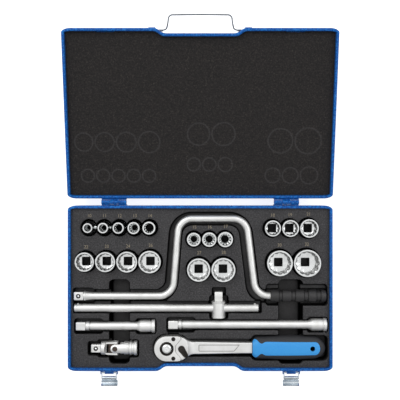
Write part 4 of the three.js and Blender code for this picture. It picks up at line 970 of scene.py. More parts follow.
def makeBrace():
    # rings carried along the crank's path: square, collar, cone, then the bare rod round its four bends
    root, radius = braceStart + drive["length"], brace["rod"]
    head = squareEnd(braceStart, root) + [
        (root + 0.02, 5.9), (root + 0.8, 5.9), (root + 1.1, 7.6), (root + 2.6, 7.8), (root + 3.2, 7.6),
        (root + 3.6, 6.9), (root + 9, 6.3), (root + 15, radius)]
    bent = braceLinePath(root + 16, braceEnd - 6, brace["bend"], steps=17)
    path = np.concatenate([np.array([(station[0], braceLine) for station in head]), bent])
    radii = [station[1] for station in head] + [radius] * len(bent)
    kinds = kindsOf(head) + ["disc"] * len(bent)
    piece = makeObject("braceCrank", [along(path, radii, kinds, 64, axisHeight)])
    at = (braceStart + drive["ballFromEnd"], braceLine, axisHeight)
    cutBy(piece, [ballHole(at)])
    finishPiece(piece, finishes["satin"], "brace", ["brace_crank"], 30)
    addBall("brace", at, "brace", "brace_ball")


# five barrel segments between four flat grooves, each from and to a share of the grip's length
braceGrip = {"radius": 10, "clearance": 0.4, "groove": 1.9, "wallAbove": 5.4,
             "barrels": ((0, 0.158), (0.203, 0.379), (0.436, 0.603), (0.666, 0.824), (0.889, 1))}


def makeBraceGrip():
    # its bore, then the barrels and grooves outside, turned about the brace's line
    r, start, end = braceGrip["radius"], gripStart, braceEnd
    bore, inner = brace["rod"] + braceGrip["clearance"], end - braceGrip["wallAbove"]
    length, foot = end - start, r - braceGrip["groove"]
    rows = [(inner, 0), (inner, bore), (start, bore)]
    walls = []
    for first, last in braceGrip["barrels"]:
        a, b = start + first * length, start + last * length
        if first > 0:
            rows += [(a - 0.9, foot)]
            walls.append(a)
        rows += [(a, foot), (a + 0.25, r - 0.9), (a + 1.4, r - 0.1)]
        if last < 1:
            rows += [((a + b) / 2, r), (b - 1.4, r - 0.1), (b - 0.25, r - 0.9), (b, foot), (b + 0.9, foot)]
            walls.append(b)
    rows += [(end - 4, r - 0.2), (end - 1.6, r - 0.8), (end - 0.4, r - 2.4), (end, r - 4), (end, 0)]
    piece = addPiece("braceGrip", [turned(rows, (0, braceLine, axisHeight), "x", 96)], finishes["handle"],
                     "brace_grip", ["brace_grip"], 30)
    # painted shade: a dark line along both walls of each groove
    x = spotsOf(piece.data)[:, 0]
    markRecess(piece, np.abs(x[:, None] - np.array(walls)).min(1) < 0.5)


def makeSlidingBar():
    # a chamfered rod with a stop pin near each end
    r = bar["radius"]
    rows = [(barStart, 0), (barStart, r - 1.5), (barStart + 0.4, r - 0.7), (barStart + 1.2, r),
            (barEnd - 1.2, r), (barEnd - 0.4, r - 0.7), (barEnd, r - 1.5), (barEnd, 0)]
    pin = [(0, 0), (0, 2), (r + 0.5, 2), (r + 1.0, 1.6), (r + 1.2, 0.8), (r + 1.2, 0)]
    parts = [turned(rows, (0, barLine, axisHeight), "x", 96)]
    for x in (barStart + 6, barEnd - 6):
        parts.append(turned(pin, (x, barLine, axisHeight), "y", 24))
    addPiece("slidingBar", parts, finishes["satin"], "t_handle", ["t_bar"], 30)


slider = {"grow": 0.95, "waist": 0.25, "square": 15, "clearance": 0.12, "cut": 14}


def makeSlider():
    # a waisted barrel that the bar runs through, and a necked square in front of it
    r = bar["radius"]
    low, high = nodeBox("t_slider")
    back, front, wide = low[1], high[1] - slider["square"], (high[0] - low[0]) / 2 + slider["grow"]
    waist, half = wide - slider["waist"], drive["half"]
    barrel = [(back, 0), (back, waist - 0.4), (back + 0.4, wide - 0.5), (back + 0.9, wide),
              (back + 2.6, wide), (back + 3.1, wide - 0.3), (back + 3.6, waist), (front - 4.0, waist),
              (front - 3.4, wide - 0.3), (front - 2.8, wide), (front - 1.0, wide),
              (front - 0.4, wide - 0.5), (front, wide - 1.4)]
    square = [(front, half, "square"), (front + 5.0, half, "square"), (front + 5.4, 6.1, "square"),
              (front + 6.2, 6.1, "square"), (front + 6.6, half, "square"), (front + 13.8, half, "square"),
              (front + 14.5, 6.0, "square"), (front + 15, 5.3, "square"), (front + 15, 0)]
    piece = makeObject("barSlider", [turned(barrel + square, (sliderX, 0, axisHeight), "y", 96)])
    cut = slider["cut"]
    cutBy(piece, [rod((sliderX, barLine, axisHeight), r + slider["clearance"], -cut, cut, "x", 96)])
    finishPiece(piece, finishes["satin"], "t_slider", ["t_slider"], 30)


extension = {"radius": 6.6, "head": 11, "headLength": 23}


def makeExtension(node, name):
    # one turned profile: square, collar with a groove, rod, and a head with a groove and a square opening
    start, end, line = extensions[node]
    r, head, root = extension["radius"], extension["head"], start + drive["length"]
    neck = end - extension["headLength"]
    rows = squareEnd(start, root) + [
        (root + 0.05, 5.6), (root + 1.0, 5.6), (root + 1.2, 7.0), (root + 1.6, 7.5), (root + 5.6, 7.5),
        (root + 6.0, 7.1), (root + 6.2, 5.5), (root + 7.3, 5.5), (root + 7.6, r - 0.3), (root + 8.1, r),
        (neck - 6.4, r), (neck - 5.0, r + 0.5), (neck - 1.2, r + 2.4), (neck, 9.6), (neck + 1.0, 9.8),
        (end - 7.7, 9.8), (end - 7.3, 9.1), (end - 6.3, 9.1), (end - 5.9, 9.8), (end - 5.1, 9.8),
        (end - 4.6, head - 0.3), (end - 4.0, head), (end - 1.0, head), (end - 0.3, head - 0.4),
        (end, head - 1.1)]
    parts = [turned(rows + squareOpening(end), (0, line, axisHeight), "x", 96),
             ball((start + drive["ballFromEnd"], line + 5.0, axisHeight))]
    addPiece(name, parts, finishes["satin"], node, [node], 30)


# the joint's yokes: throat and gap are the room between the ears, tip is how far they pass the pivot
joint = {"radius": 11.7, "rootBehind": 23, "tip": 4.2, "prong": 5.4, "throat": 14.0, "gap": 7.2, "ear": 6.7,
         "pin": 2.5, "post": 3.9, "clearance": 0.2}


def makeDriveYoke():
    # a turned body cut to two ears that stand at both sides of the pivot
    x, y, z = jointAt
    r, tip, prong, throat, gap = joint["radius"], joint["tip"], joint["prong"], joint["throat"], joint["gap"]
    root = x - joint["rootBehind"]
    piece = makeObject("jointDriveYoke", [turned([
        (root, 0), (root, 8.4), (root + 0.4, 9.6), (root + 1.2, 10.5), (root + 2.0, 10.8), (root + 5.4, 10.8),
        (root + 6.6, 10.8), (x - 12, 11.0), (x + tip, r), (x + tip, 0)], (0, y, z), "x", 96)])
    side = roundLine([(x - 17.4, -r - 1), (x - 14.4, -prong), (x + tip, -prong), (x + tip, prong),
                      (x - 14.4, prong), (x - 17.4, r + 1), (x - 30, r + 1), (x - 30, -r - 1)],
                     [0, 2, 3, 3, 2, 0, 0, 0], 9, closed=True)
    spots, faces = plate(side, -r - 2, r + 2, "z", edge=0.0, steps=1)
    cutBy(piece, [(spots[:, [0, 2, 1]] * (1, -1, 1) + (0, y, z), faces)], "INTERSECT")
    cutBy(piece, [cuboid(x - throat, x + 20, y - gap, y + gap, z - 20, z + 20),
                  rod(jointAt, joint["pin"] + joint["clearance"], -20, 20, "y", 48)])
    finishPiece(piece, finishes["satin"], "joint_drive", ["joint_drive_yoke"], 30)


def makeDriveSquare():
    # the square in front of the drive yoke, with its detent ball
    x, y, z = jointAt
    root = x - joint["rootBehind"] + 0.5
    at = (jointStart + drive["ballFromEnd"], y, z)
    rows = squareEnd(jointStart, root) + [(root, 0)]
    piece = makeObject("jointDriveSquare", [turned(rows, (0, y, z), "x", 96)])
    cutBy(piece, [ballHole(at)])
    finishPiece(piece, finishes["satin"], "joint_drive", (), 30)
    addBall("joint", at, "joint_drive", "joint_ball")


def makeSocketYoke():
    # a turned body with two grooves, cut to two ears that stand above and below the pivot
    x, y, z = jointAt
    r, ear, throat, gap, end = joint["radius"], joint["ear"], joint["throat"], joint["gap"], jointEnd
    piece = makeObject("jointSocketYoke", [turned([
        (x - ear, 0), (x - ear, 10.4), (end - 14.2, 10.4), (end - 13.6, 9.5), (end - 12.4, 9.5),
        (end - 11.9, 10.8), (end - 11.4, 11.1), (end - 8.8, 11.1), (end - 8.2, 10.7), (end - 7.6, 10.0),
        (end - 5.2, 10.0), (end - 4.7, 10.9), (end - 4.2, r), (end - 1, r), (end - 0.3, r - 0.4), (end, r - 1.1)]
        + squareOpening(end), (0, y, z), "x", 96)])
    ears = roundLine([(x - ear, -ear), (x + 9, -ear), (x + 15, -11), (x + 17, -r - 1), (end + 3, -r - 1),
                      (end + 3, r + 1), (x + 17, r + 1), (x + 15, 11), (x + 9, ear), (x - ear, ear)],
                     [6.6, 4, 2, 0, 0, 0, 0, 2, 4, 6.6], 9, closed=True)
    cutBy(piece, [plate(ears + (0, y), z - r - 2, z + r + 2, "z", edge=0.0, steps=1)], "INTERSECT")
    cutBy(piece, [cuboid(x - 20, x + throat, y - 20, y + 20, z - gap, z + gap),
                  rod(jointAt, joint["post"] + joint["clearance"], -20, 20, "z", 48)])
    finishPiece(piece, finishes["satin"], "joint", ["joint_socket_yoke"], 30)


def makeCross():
    # a block with a pin through each pair of ears
    x, y, z = jointAt
    parts = [plate(roundBox(x - 10.5, x + 6.9, y - 6.9, y + 6.9, 1.2), z - 6.9, z + 6.9, "z", 0.8, 4)]
    for axis, reach, thick in (("y", 10.2, joint["pin"]), ("z", 9.6, joint["post"])):
        pin = [(-reach, 0), (-reach, thick - 0.5), (-reach + 0.5, thick), (reach - 0.5, thick),
               (reach, thick - 0.5), (reach, 0)]
        parts.append(turned(pin, jointAt, axis, 48))
    addPiece("jointCross", parts, finishes["crossOxide"], "joint_cross", ["joint_cross"], 30)


makeBrace()
makeBraceGrip()
makeSlidingBar()
makeSlider()
makeExtension("extension_short", "shortExtension")
makeExtension("extension_long", "longExtension")
makeDriveYoke()
makeDriveSquare()
makeSocketYoke()
makeCross()
say("drive tools")


# heights are above the floor; the outline runs from the head's middle along x
ratchet = {"head": 20.5, "flat": 16, "neck": 42, "top": 43.0, "shankTop": 37.0, "bottom": 23.1, "edge": 1.6,
           "shank": 9.7, "shankEnd": 8.5, "crest": 33, "fallEnd": 46, "panel": (50, 115, 5.3),
           "panelDepth": 1.0, "seat": 41.2, "seatGap": 1.1, "cover": (41.4, 43.2), "well": 11,
           "screw": (10.5, 15.2), "over": 46}


def smooth(value, low, high):
    # 3t^2 - 2t^3 between low and high
    t = np.clip((value - low) / (high - low), 0, 1)
    return t * t * (3 - 2 * t)


def headHalfWidth(x):
    # sqrt(R^2 - x^2) up to the middle, then level, then an S-curve down to the slowly tapering shank
    head, reach = ratchet["head"], gripLow[0] - ratchetAt[0]
    disc = np.sqrt(np.maximum(head ** 2 - np.minimum(x, 0) ** 2, 0))
    shank = ratchet["shank"] + (ratchet["shankEnd"] - ratchet["shank"]) * smooth(x, 40, reach)
    return disc + (shank - head) * smooth(x, ratchet["flat"], ratchet["neck"])


def headTop(x, y):
    # level at the head; past an arc about the wheel it falls as 1 - (1 - t)^2 to the shank
    t = np.clip((np.hypot(x, y) - ratchet["crest"]) / (ratchet["fallEnd"] - ratchet["crest"]), 0, 1)
    return ratchet["top"] + (ratchet["shankTop"] - ratchet["top"]) * (1 - (1 - t) ** 2) * (x > 0)


def bodySection():
    # stations along x of half width w(x), both edges rounded: inset e(1 - sin a) at height e(1 - cos a)
    head, reach, e = ratchet["head"], gripLow[0] - ratchetAt[0] - 0.3, ratchet["edge"]
    x = np.concatenate([-head * np.cos(np.linspace(0, turn / 4, 26)), np.linspace(1.5, 46, 48),
                        np.linspace(49, reach, 10)])
    w = headHalfWidth(x)
    normal = leftward(np.column_stack([x, w]))
    normal[0] = (-1, 0)
    a = np.linspace(0, turn / 4, 6)
    inset, rise = e * (1 - np.sin(a)), e * (1 - np.cos(a))
    across = np.linspace(0, 1, 12)[None]
    edgeX = x[:, None] - inset * normal[:, :1]
    edgeY = np.maximum(w[:, None] - inset * normal[:, 1:], 0)
    topX, topY = np.repeat(edgeX[:, :1], 12, 1), edgeY[:, :1] * (1 - across)
    # one half of the section: from the middle of the bottom out, up the side and in to the middle of the top
    px = np.concatenate([topX[:, ::-1], edgeX[:, 1:], edgeX[:, ::-1], topX[:, 1:]], 1)
    py = np.concatenate([topY[:, ::-1], edgeY[:, 1:], edgeY[:, ::-1], topY[:, 1:]], 1)
    low = np.concatenate([np.zeros((1, 12)), rise[None, 1:]], 1) + ratchet["bottom"]
    high = np.concatenate([-rise[None, ::-1], np.zeros((1, 11))], 1)
    pz = np.concatenate([np.repeat(low, len(x), 0), headTop(px[:, -17:], py[:, -17:]) + high], 1)
    half = np.stack([px, py, pz], -1)
    other = half[:, ::-1][:, 1:-1] * (1, -1, 1)
    return surface(np.concatenate([half, other], 1))


def panelCutter(low):
    # a frame-shaped cutter: the sunk line round the shank's panel
    start, end, wide = ratchet["panel"]
    near, far = start + 1, end - 1.9
    outer = roundLine([(start, -wide), (end - 9, -wide), (end, wide), (start, wide)], [1.5, 1.5, 1, 1.5], 5,
                      closed=True)
    inner = roundLine([(near, 1 - wide), (far - 7.3, 1 - wide), (far, wide - 1), (near, wide - 1)],
                      [0.8, 0.8, 0.5, 0.8], 5, closed=True)
    high = ratchet["over"]
    band = [np.column_stack([line, np.full(len(line), level)]) for line, level in
            ((inner, low), (outer, low), (outer, high), (inner, high))]
    return surface(np.stack(band), wrapRows=True)


def makeRatchetBody():
    # the forging, cut by the cover's pocket, the panel's line and the wheel's bore
    x0, y0 = ratchetAt[:2]
    low, start = ratchet["shankTop"] - ratchet["panelDepth"], ratchet["panel"][0]
    body = makeObject("ratchetBody", [shifted(bodySection(), (x0, y0, 0))])
    pocket = coverOutline(ratchet["seatGap"]) + (x0, y0)
    cutBy(body, [plate(pocket, ratchet["seat"], ratchet["over"], edge=0, steps=1),
                 shifted(panelCutter(low), (x0, y0, 0)),
                 rod((x0, y0, 0), ratchet["well"], 20, ratchet["over"], sides=64)])
    x, _, z = (spotsOf(body.data) - (x0, y0, 0)).T
    # painted shade in the gap round the cover and along the floor of the panel's sunk line
    seamShade = (z > 41) * (z < 42.6) * (x < 26)
    markRecess(body, 1.0 * seamShade + 0.7 * (x > start - 1) * (np.abs(z - low) < 0.2))
    finishPiece(body, finishes["satin"], "ratchet", ["ratchet_body"], 30)


def coverOutline(grow):
    # the head's outline moved in, cut to a blunt V that makes room for the selector; the pocket's is the same
    # outline grown by its gap
    inset = ratchet["seatGap"] - grow
    x = np.concatenate([-ratchet["head"] * np.cos(np.linspace(0, turn / 4, 26)), np.linspace(2, 22.4, 8)])
    line = np.column_stack([x, headHalfWidth(x)])
    side = outward(np.concatenate([line * (1, -1), line[::-1]]))[:len(x)] * (1, -1)
    upper = line - inset * side
    upper[0, 1] = 0
    far, near = 22.6 + grow / 2, 13.6 + grow / 2
    vee = roundLine([upper[-1] * (1, -1), (far, -15.6), (near, -4.6), (near, 4.6), (far, 15.6), upper[-1]],
                    [0, 1, 2, 2, 1, 0], 4)
    return np.concatenate([upper[:-1] * (1, -1), vee, upper[-2:0:-1]])


def makeCover():
    # the cover plate with its wheel opening and two screw holes, and the two socket-head screws
    x0, y0 = ratchetAt[:2]
    low, high = ratchet["cover"]
    screwX, screwY = x0 + ratchet["screw"][0], ratchet["screw"][1]
    piece = makeObject("ratchetCover", [plate(coverOutline(0) + (x0, y0), low, high, edge=0.35, steps=4)])
    cutBy(piece, [rod((x0, y0, 0), ratchet["well"], 40, ratchet["over"], sides=64)]
          + [rod((screwX, y0 + side * screwY, 0), 3.3, 40, ratchet["over"]) for side in (-1, 1)])
    finishPiece(piece, finishes["satin"], "ratchet", ["ratchet_cover"], 30)
    rows = [(36, 0), (36, 2), (41.4, 2), (41.4, 3), (42.6, 3), (42.9, 2.7), (42.9, 1.6, "hexagon"),
            (41.8, 1.6, "hexagon"), (41.8, 0)]
    for side, label in ((-1, "front"), (1, "rear")):
        screw = turned(rows, (screwX, y0 + side * screwY, 0), "z", 48)
        addPiece("ratchetScrew" + label.capitalize(), [screw], finishes["oxide"], "ratchet",
                 ["ratchet_screw_" + label], 30)


def makeWheel():
    # the drive square below, the wheel with its sunk face above, a dark band round it and the release button
    at = (*ratchetAt[:2], 0)
    bottom, under, half = nodeBox("ratchet_drive")[0][2], 22.1, drive["half"]
    rows = [(bottom, 0), (bottom, 5.3, "square"), (bottom + 0.5, 6.0, "square"),
            (bottom + 1.2, half, "square"), (under, half, "square"), (under, 9.7), (under + 1, 10.7),
            (42.6, 10.7), (43.0, 10.4), (43.2, 10.0), (43.2, 8.5), (38.4, 8.1), (38.4, 0)]
    addPiece("ratchetWheel", [turned(rows, at)], finishes["chrome"], "ratchet_drive", ["ratchet_drive"],
             30)
    addPiece("ratchetWheelBand", [ring(at, 8.1, 10.6, 42.6, 43.4, sides=96)], finishes["oxide"],
             "ratchet_drive", (), 30)
    rows = [(41.2, 0), (41.2, 7.7), (42.7, 7.7), (43.1, 7.5), (43.9, 6.8), (44.4, 5.9), (44.7, 4.8),
            (44.8, 3.6), (44.6, 3.0), (44.5, 2.2), (44.7, 1.2), (44.75, 0)]
    addPiece("ratchetButton", [turned(rows, at)], finishes["chrome"], "ratchet_button", ["ratchet_button"],
             40)


selector = {"at": (23.2, -0.3), "low": 41.5, "high": 44.4, "big": 5.3, "small": 4.0, "far": (6.3, -9.3)}


def makeSelector():
    # the hull of a large round end and a small one: two arcs that meet where acos((R - r) / distance) says,
    # with a pivot head on one and a thumb knob on the other
    low, high, far = selector["low"], selector["high"], selector["far"]
    angle = math.atan2(far[1], far[0])
    lean = math.acos((selector["big"] - selector["small"]) / math.hypot(*far))
    big = np.linspace(angle + lean, angle + turn - lean, 28)
    small = np.linspace(angle - lean, angle + lean, 18)
    egg = np.concatenate([selector["big"] * np.stack([np.cos(big), np.sin(big)], 1),
                          selector["small"] * np.stack([np.cos(small), np.sin(small)], 1) + far])
    head = [(high - 0.5, 0), (high - 0.5, 1.5), (high + 0.3, 1.5), (high + 0.55, 1.1), (high + 0.6, 0)]
    knob = [(high - 0.5, 0), (high - 0.5, 1.2), (high + 0.3, 1.2), (high + 0.6, 0.8), (high + 0.7, 0)]
    parts = [plate(egg, low, high, edge=0.6, steps=5), turned(head, sides=32),
             turned(knob, (far[0] - 0.2, far[1] + 0.3, 0), sides=32)]
    place = (ratchetAt[0] + selector["at"][0], ratchetAt[1] + selector["at"][1], 0)
    addPiece("ratchetLever", [shifted(part, place) for part in parts], finishes["oxide"],
             "ratchet_lever", ["ratchet_lever"], 30)


grip = {"power": 2.7, "short": 2.4, "hole": 3.9, "holeFromEnd": 23.4, "inlay": 11.1, "inlayEnd": 11.6,
        "proud": 0.7, "inlayBelow": 1.6, "round": 9}


def gripSize(t):
    # half width and half height of the grip's superellipse at the share t of its length: a shoulder that
    # swells from the shank, a long belly and a round tail
    s = t * (gripHigh[0] - gripLow[0])
    half, tall = (gripHigh[1] - gripLow[1]) / 2, (gripHigh[2] - gripLow[2]) / 2
    shoulder = smooth(s, -4, 8)
    tail = np.sqrt(np.clip(1 - (np.maximum(0, t - 0.82) / 0.18) ** 2.2, 0, 1))
    belly = 0.9 + 0.1 * np.exp(-((t - 0.5) / 0.26) ** 2)
    wide = half * (0.62 + 0.38 * shoulder) * belly * tail
    high = tall * (0.8 + 0.2 * shoulder) * belly * (0.4 + 0.6 * tail)
    return wide, high


def gripTop(x, y):
    # upper surface of |y / w|^p + |z / h|^p = 1
    p = grip["power"]
    wide, high = gripSize((x - gripLow[0]) / (gripHigh[0] - grip["short"] - gripLow[0]))
    share = np.clip(np.abs(y) / np.maximum(wide, 1e-6), 0, 1)
    return axisHeight + high * (1 - share ** p) ** (1 / p)


def inlayHalfWidth(s, length):
    # s along the inlay: a flared guard, a waist behind it, a straight band and a round end
    guard = 3.4 * np.exp(-(((s - 4.6) / 4.6) ** 2))
    waist = -3.0 * np.exp(-(((s - 14.2) / 4.4) ** 2))
    mouth = -2.2 * np.exp(-((s / 1.4) ** 2))
    close = np.clip((s - (length - grip["round"])) / grip["round"], 0, 1)
    taper = -0.9 * np.clip(s / length, 0, 1)
    return (grip["inlay"] + guard + waist + mouth + taper) * np.sqrt(1 - close ** 2.6)


def holeCutter():
    # the hanging hole through the grip and its inlay
    return rod((gripHigh[0] - grip["holeFromEnd"], ratchetAt[1], 0), grip["hole"], 5, 60, sides=48)


def makeGrip():
    # superellipse sections |cos|^(2/p), |sin|^(2/p) along the grip's length
    span = gripHigh[0] - grip["short"] - gripLow[0]
    t = np.concatenate([np.linspace(0, 0.12, 14)[:-1], np.linspace(0.12, 0.82, 30)[:-1],
                        0.82 + 0.18 * np.sin(np.linspace(0, turn / 4, 22))])
    wide, high = gripSize(t)
    angle = np.arange(96) / 96 * turn
    p = 2 / grip["power"]
    y = wide[:, None] * np.sign(np.cos(angle)) * np.abs(np.cos(angle)) ** p
    z = high[:, None] * np.sign(np.sin(angle)) * np.abs(np.sin(angle)) ** p
    x = np.broadcast_to((gripLow[0] + t * span)[:, None], y.shape)
    body = makeObject("ratchetGrip", [surface(np.stack([x, y + ratchetAt[1], z + axisHeight], -1))])
    cutBy(body, [holeCutter()])
    finishPiece(body, finishes["gripGrey"], "ratchet", ["ratchet_grip"], 40)


def makeInlay():
    # a skin that follows the grip's top and stands a little proud, v = -1 to 1 across it
    length, close = gripHigh[0] - grip["inlayEnd"] - gripLow[0], grip["round"]
    s = np.concatenate([np.linspace(0.1, 26, 46), np.linspace(28, length - close, 16)[:-1],
                        length - close * (1 - np.sin(np.linspace(0, turn / 4, 16)))])
    s[-1] -= 0.02
    v = np.sin(np.linspace(-turn / 4, turn / 4, 41))
    y = inlayHalfWidth(s, length)[:, None] * v
    x = np.broadcast_to(gripLow[0] + s[:, None], y.shape)
    fade = np.sqrt(np.clip(s / 1.2, 0, 1))[:, None]
    upper = gripTop(x, y) + grip["proud"] * np.sqrt(1 - np.abs(v) ** 12) * fade
    lower = gripTop(x, y) - grip["inlayBelow"]
    skin = np.concatenate([np.stack([x, y + ratchetAt[1], upper], -1),
                           np.stack([x, y + ratchetAt[1], lower], -1)[:, ::-1]], 1)
    inlay = makeObject("gripInlay", [surface(skin)])
    cutBy(inlay, [holeCutter()])
    finishPiece(inlay, finishes["gripBlue"], "ratchet", ["ratchet_inlay"], 45)


makeRatchetBody()
makeCover()
makeWheel()
makeSelector()
makeGrip()
makeInlay()
say("ratchet")


hingeLeaf = {"sheet": 1.2, "half": 19.5, "knuckle": 3.2, "wall": -5.0, "far": 17, "near": 0.4, "pin": 1.3,
             "rivets": (-13, 0, 13), "rivetDown": 11}


def makeHingeLeaf(name, node, side, body, knuckles, onLid):
    # seen from the end: the leaf against the wall, an S-bend and a curl of the knuckle's radius round the pin
    sheet, half, near = hingeLeaf["sheet"], hingeLeaf["half"], hingeLeaf["near"]
    middle = hingeLeaf["wall"] + sheet / 2
    radius = hingeLeaf["knuckle"] - sheet / 2
    leaf = roundLine([(-hingeLeaf["far"], -half), (-near, -half), (-near, half), (-hingeLeaf["far"], half)],
                     [3, 0.5, 0.5, 3], 5, closed=True)
    parts = [plate(leaf, middle - sheet / 2, middle + sheet / 2, "y", 0.25, 3)]
    a = np.linspace(math.radians(180), math.radians(-125), 28)
    curl = np.stack([radius * np.cos(a), radius * np.sin(a)], 1)
    bend = roundLine([(middle, -6.0), (middle, -3.0), (-radius, -0.8), tuple(curl[0])], [0, 1.4, 0.8, 0], 5)
    section = stroke(np.concatenate([bend[:-1], curl]), sheet)[::-1]
    parts += [plate(section, low, high, "x", 0.25, 3) for low, high in knuckles]
    # the leaf's edge is folded out behind the other leaf's knuckles
    inner = knuckles[0][1] if len(knuckles) == 2 else knuckles[0][0]
    spans = [(inner, -inner)] if len(knuckles) == 2 else [(-half, inner - 0.3), (0.3 - inner, half)]
    fold = [(middle - 0.3, -7), (-3.35, -5), (-3.35, -near), (middle - 0.3, -near)]
    parts += [plate(fold, low, high, "x", 0.1, 3) for low, high in spans]
    rivet = [(-0.2, 0), (-0.2, 2.6), (0.25, 2.5), (0.6, 1.9), (0.85, 1.0), (0.9, 0)]
    parts += [turned(rivet, (place, middle + sheet / 2, -hingeLeaf["rivetDown"]), "y", 32)
              for place in hingeLeaf["rivets"]]
    at = (side * hingeX, hinge[1], hinge[2])
    if onLid:  # upside down, because the lid is drawn closed
        placed = [swung((spots * (1, 1, -1) + at, faces)) for spots, faces in parts]
    else:
        placed = [shifted(part, at) for part in parts]
    addPiece(name, placed, finishes["enamel"], body, [node], 30)


def makeHingePin(name, node, side):
    # a rod with chamfered ends through all knuckles
    half, radius = hingeLeaf["half"], hingeLeaf["pin"]
    rows = [(-half - 0.4, 0), (-half - 0.4, 0.9), (-half - 0.1, radius), (half + 0.1, radius),
            (half + 0.4, 0.9), (half + 0.4, 0)]
    addPiece(name, [turned(rows, (side * hingeX, hinge[1], hinge[2]), "x", 32)], finishes["enamel"], "case",
             [node], 30)


handle = {"strap": 2.0, "width": 12, "footWidth": 4, "foot": 57.3, "reach": 22.6, "pivotBack": 3.6,
          "pin": 1.6, "boss": (72.5, 5.5)}


def makeHandle():
    # a strap carried along its line: a superellipse u^4 + v^4 = 1, 2 mm thick, narrow at its feet
    foot, reach, narrow = handle["foot"], handle["reach"], handle["footWidth"] / 2
    half = [(foot - 0.5, -0.2), (50.6, -1.6), (48.2, -11), (47.2, -reach), (0, -reach - 0.6)]
    line = roundLine(half, [0, 5.5, 5, 10.5, 0], 9)
    line = np.concatenate([line, (line * (-1, 1))[-2::-1]])
    wide = narrow + (handle["width"] / 2 - narrow) * smooth(-line[:, 1], 1.5, 10.5)
    angle = np.arange(32) / 32 * turn
    u = np.sign(np.cos(angle)) * np.abs(np.cos(angle)) ** 0.5 * handle["strap"] / 2
    v = np.sign(np.sin(angle)) * np.abs(np.sin(angle)) ** 0.5
    flat = line[:, None] + u[None, :, None] * leftward(line)[:, None]
    parts = [surface(np.concatenate([flat, (wide[:, None] * v)[..., None]], -1))]
    pin = handle["pin"]
    rows = [(foot - 1.5, 0), (foot - 1.5, 1.2), (foot - 1.1, pin), (foot + 4.5, pin), (foot + 5, 1.2),
            (foot + 5, 0)]
    for side in (-1, 1):
        parts.append(turned([(side * place, r) for place, r in rows], (0, 0, 0), "x", 32))
    pivot = np.array([0, frontFace + handle["pivotBack"], (lidRim + lidTop) / 2])
    addPiece("carryHandle", [swung(shifted(part, pivot)) for part in parts], finishes["strap"], "handle",
             ["carry_handle"], 40)
    # pressed bosses in the lid's front take the handle's feet
    (out, size), level = handle["boss"], pivot[2]
    bosses = []
    for side in (-1, 1):
        outline = roundBox(level - size, level + size, side * out - size, side * out + size, 2.5)
        bosses.append(swung(plate(outline, frontFace - 1.0, frontFace + 0.6, "y", 0.8, 5)))
    addPiece("lidBosses", bosses, finishes["enamel"], "lid", (), 40)


# measured from the link's axle: y back to the case's wall, z up
latch = {"sheet": 1.2, "wide": 27, "out": 4.5, "height": 30, "link": 8, "droop": 30, "tongue": 0.9,
         "lever": 1.0, "axle": 1.2, "leverAxle": 1.1, "play": 0.3, "leverPlay": 0.35}


def bracketParts(half, sheet):
    # a riveted plate with an ear at each end, and a tongue rolled round the axle
    wall = latch["out"] - 0.3
    parts = [plate(roundBox(-9, 7, -half, half, 2.0), wall - sheet, wall, "y", 0.25, 3)]
    ear = roundLine([(wall - 0.4, -6.5), (wall - 0.4, 5.5), (0, 3.0), (-2.8, 1.8), (-2.8, -1.8), (0, -3.0)],
                    [0.3, 0.3, 1.0, 1.7, 1.7, 1.0], 5, closed=True)
    parts += [plate(ear[::-1], low, low + sheet, "x", 0.2, 3) for low in (-half, half - sheet)]
    face = wall - sheet - 0.2
    rivet = [(face + 0.3, 0), (face + 0.3, 2.2), (face - 0.1, 2.1), (face - 0.5, 1.5), (face - 0.7, 0)]
    parts += [turned(rivet, (across, 0, -1), "y", 32) for across in (-8, 8)]
    roll = np.linspace(math.radians(60), math.radians(300), 18)
    tongue = np.concatenate([[(wall - 0.6, 1.6)], np.stack([1.9 * np.cos(roll), 1.9 * np.sin(roll)], 1)])
    parts.append(plate(stroke(tongue, latch["tongue"]), -7, 7, "x", 0.2, 3))
    return parts


def linkParts(half, sheet, reach):
    # an axle with a turned head at each end, and two stamped arms
    end, axle = half + 0.4, latch["axle"]
    far = -latch["link"] - 2.4
    arm = roundLine([(2.4, -2.4), (2.4, 2.4), (far, 2.3), (far, -2.3)], [2.2, 2.2, 2.2, 2.2], 7, closed=True)
    rows = [(-end, 0), (-end, 0.9), (-half, axle), (half, axle), (end, 0.9), (end, 0)]
    parts = [turned(rows, (0, 0, 0), "x", 32)]
    parts += [plate(arm[::-1], low, low + sheet, "x", 0.2, 3) for low in (-reach, reach - sheet)]
    return parts


def leverParts(half, sheet, reach):
    # sheet rolled round its axle, a plate that widens past the arms, and a round-backed lip
    roll = np.linspace(math.radians(-200), math.radians(90), 20)
    curl = np.stack([1.7 * np.cos(roll), 1.7 * np.sin(roll)], 1)
    bow = roundLine([tuple(curl[-1]), (-2.4, 1.5), (-4.2, 0.2), (-10.9, -0.1), (-11.1, 6.9)],
                    [0, 0.8, 1.2, 3.6, 0], 9)
    inner = reach - sheet - latch["leverPlay"]
    spots, faces = plate(stroke(np.concatenate([curl, bow[1:]]), latch["lever"]), -1, 1, "x", 0.02, 2)
    wide = inner + (half - 0.6 - inner) * smooth(-spots[:, 1], 3.2, 6.2)
    spots = np.column_stack([spots[:, 0] * wide, spots[:, 1:]])
    parts = [(spots, faces), rod((0, 0, 0), latch["leverAxle"], -reach, reach, "x")]
    return [shifted(tilted(part, (0, 0, 0), latch["droop"]), (0, -latch["link"], 0)) for part in parts]


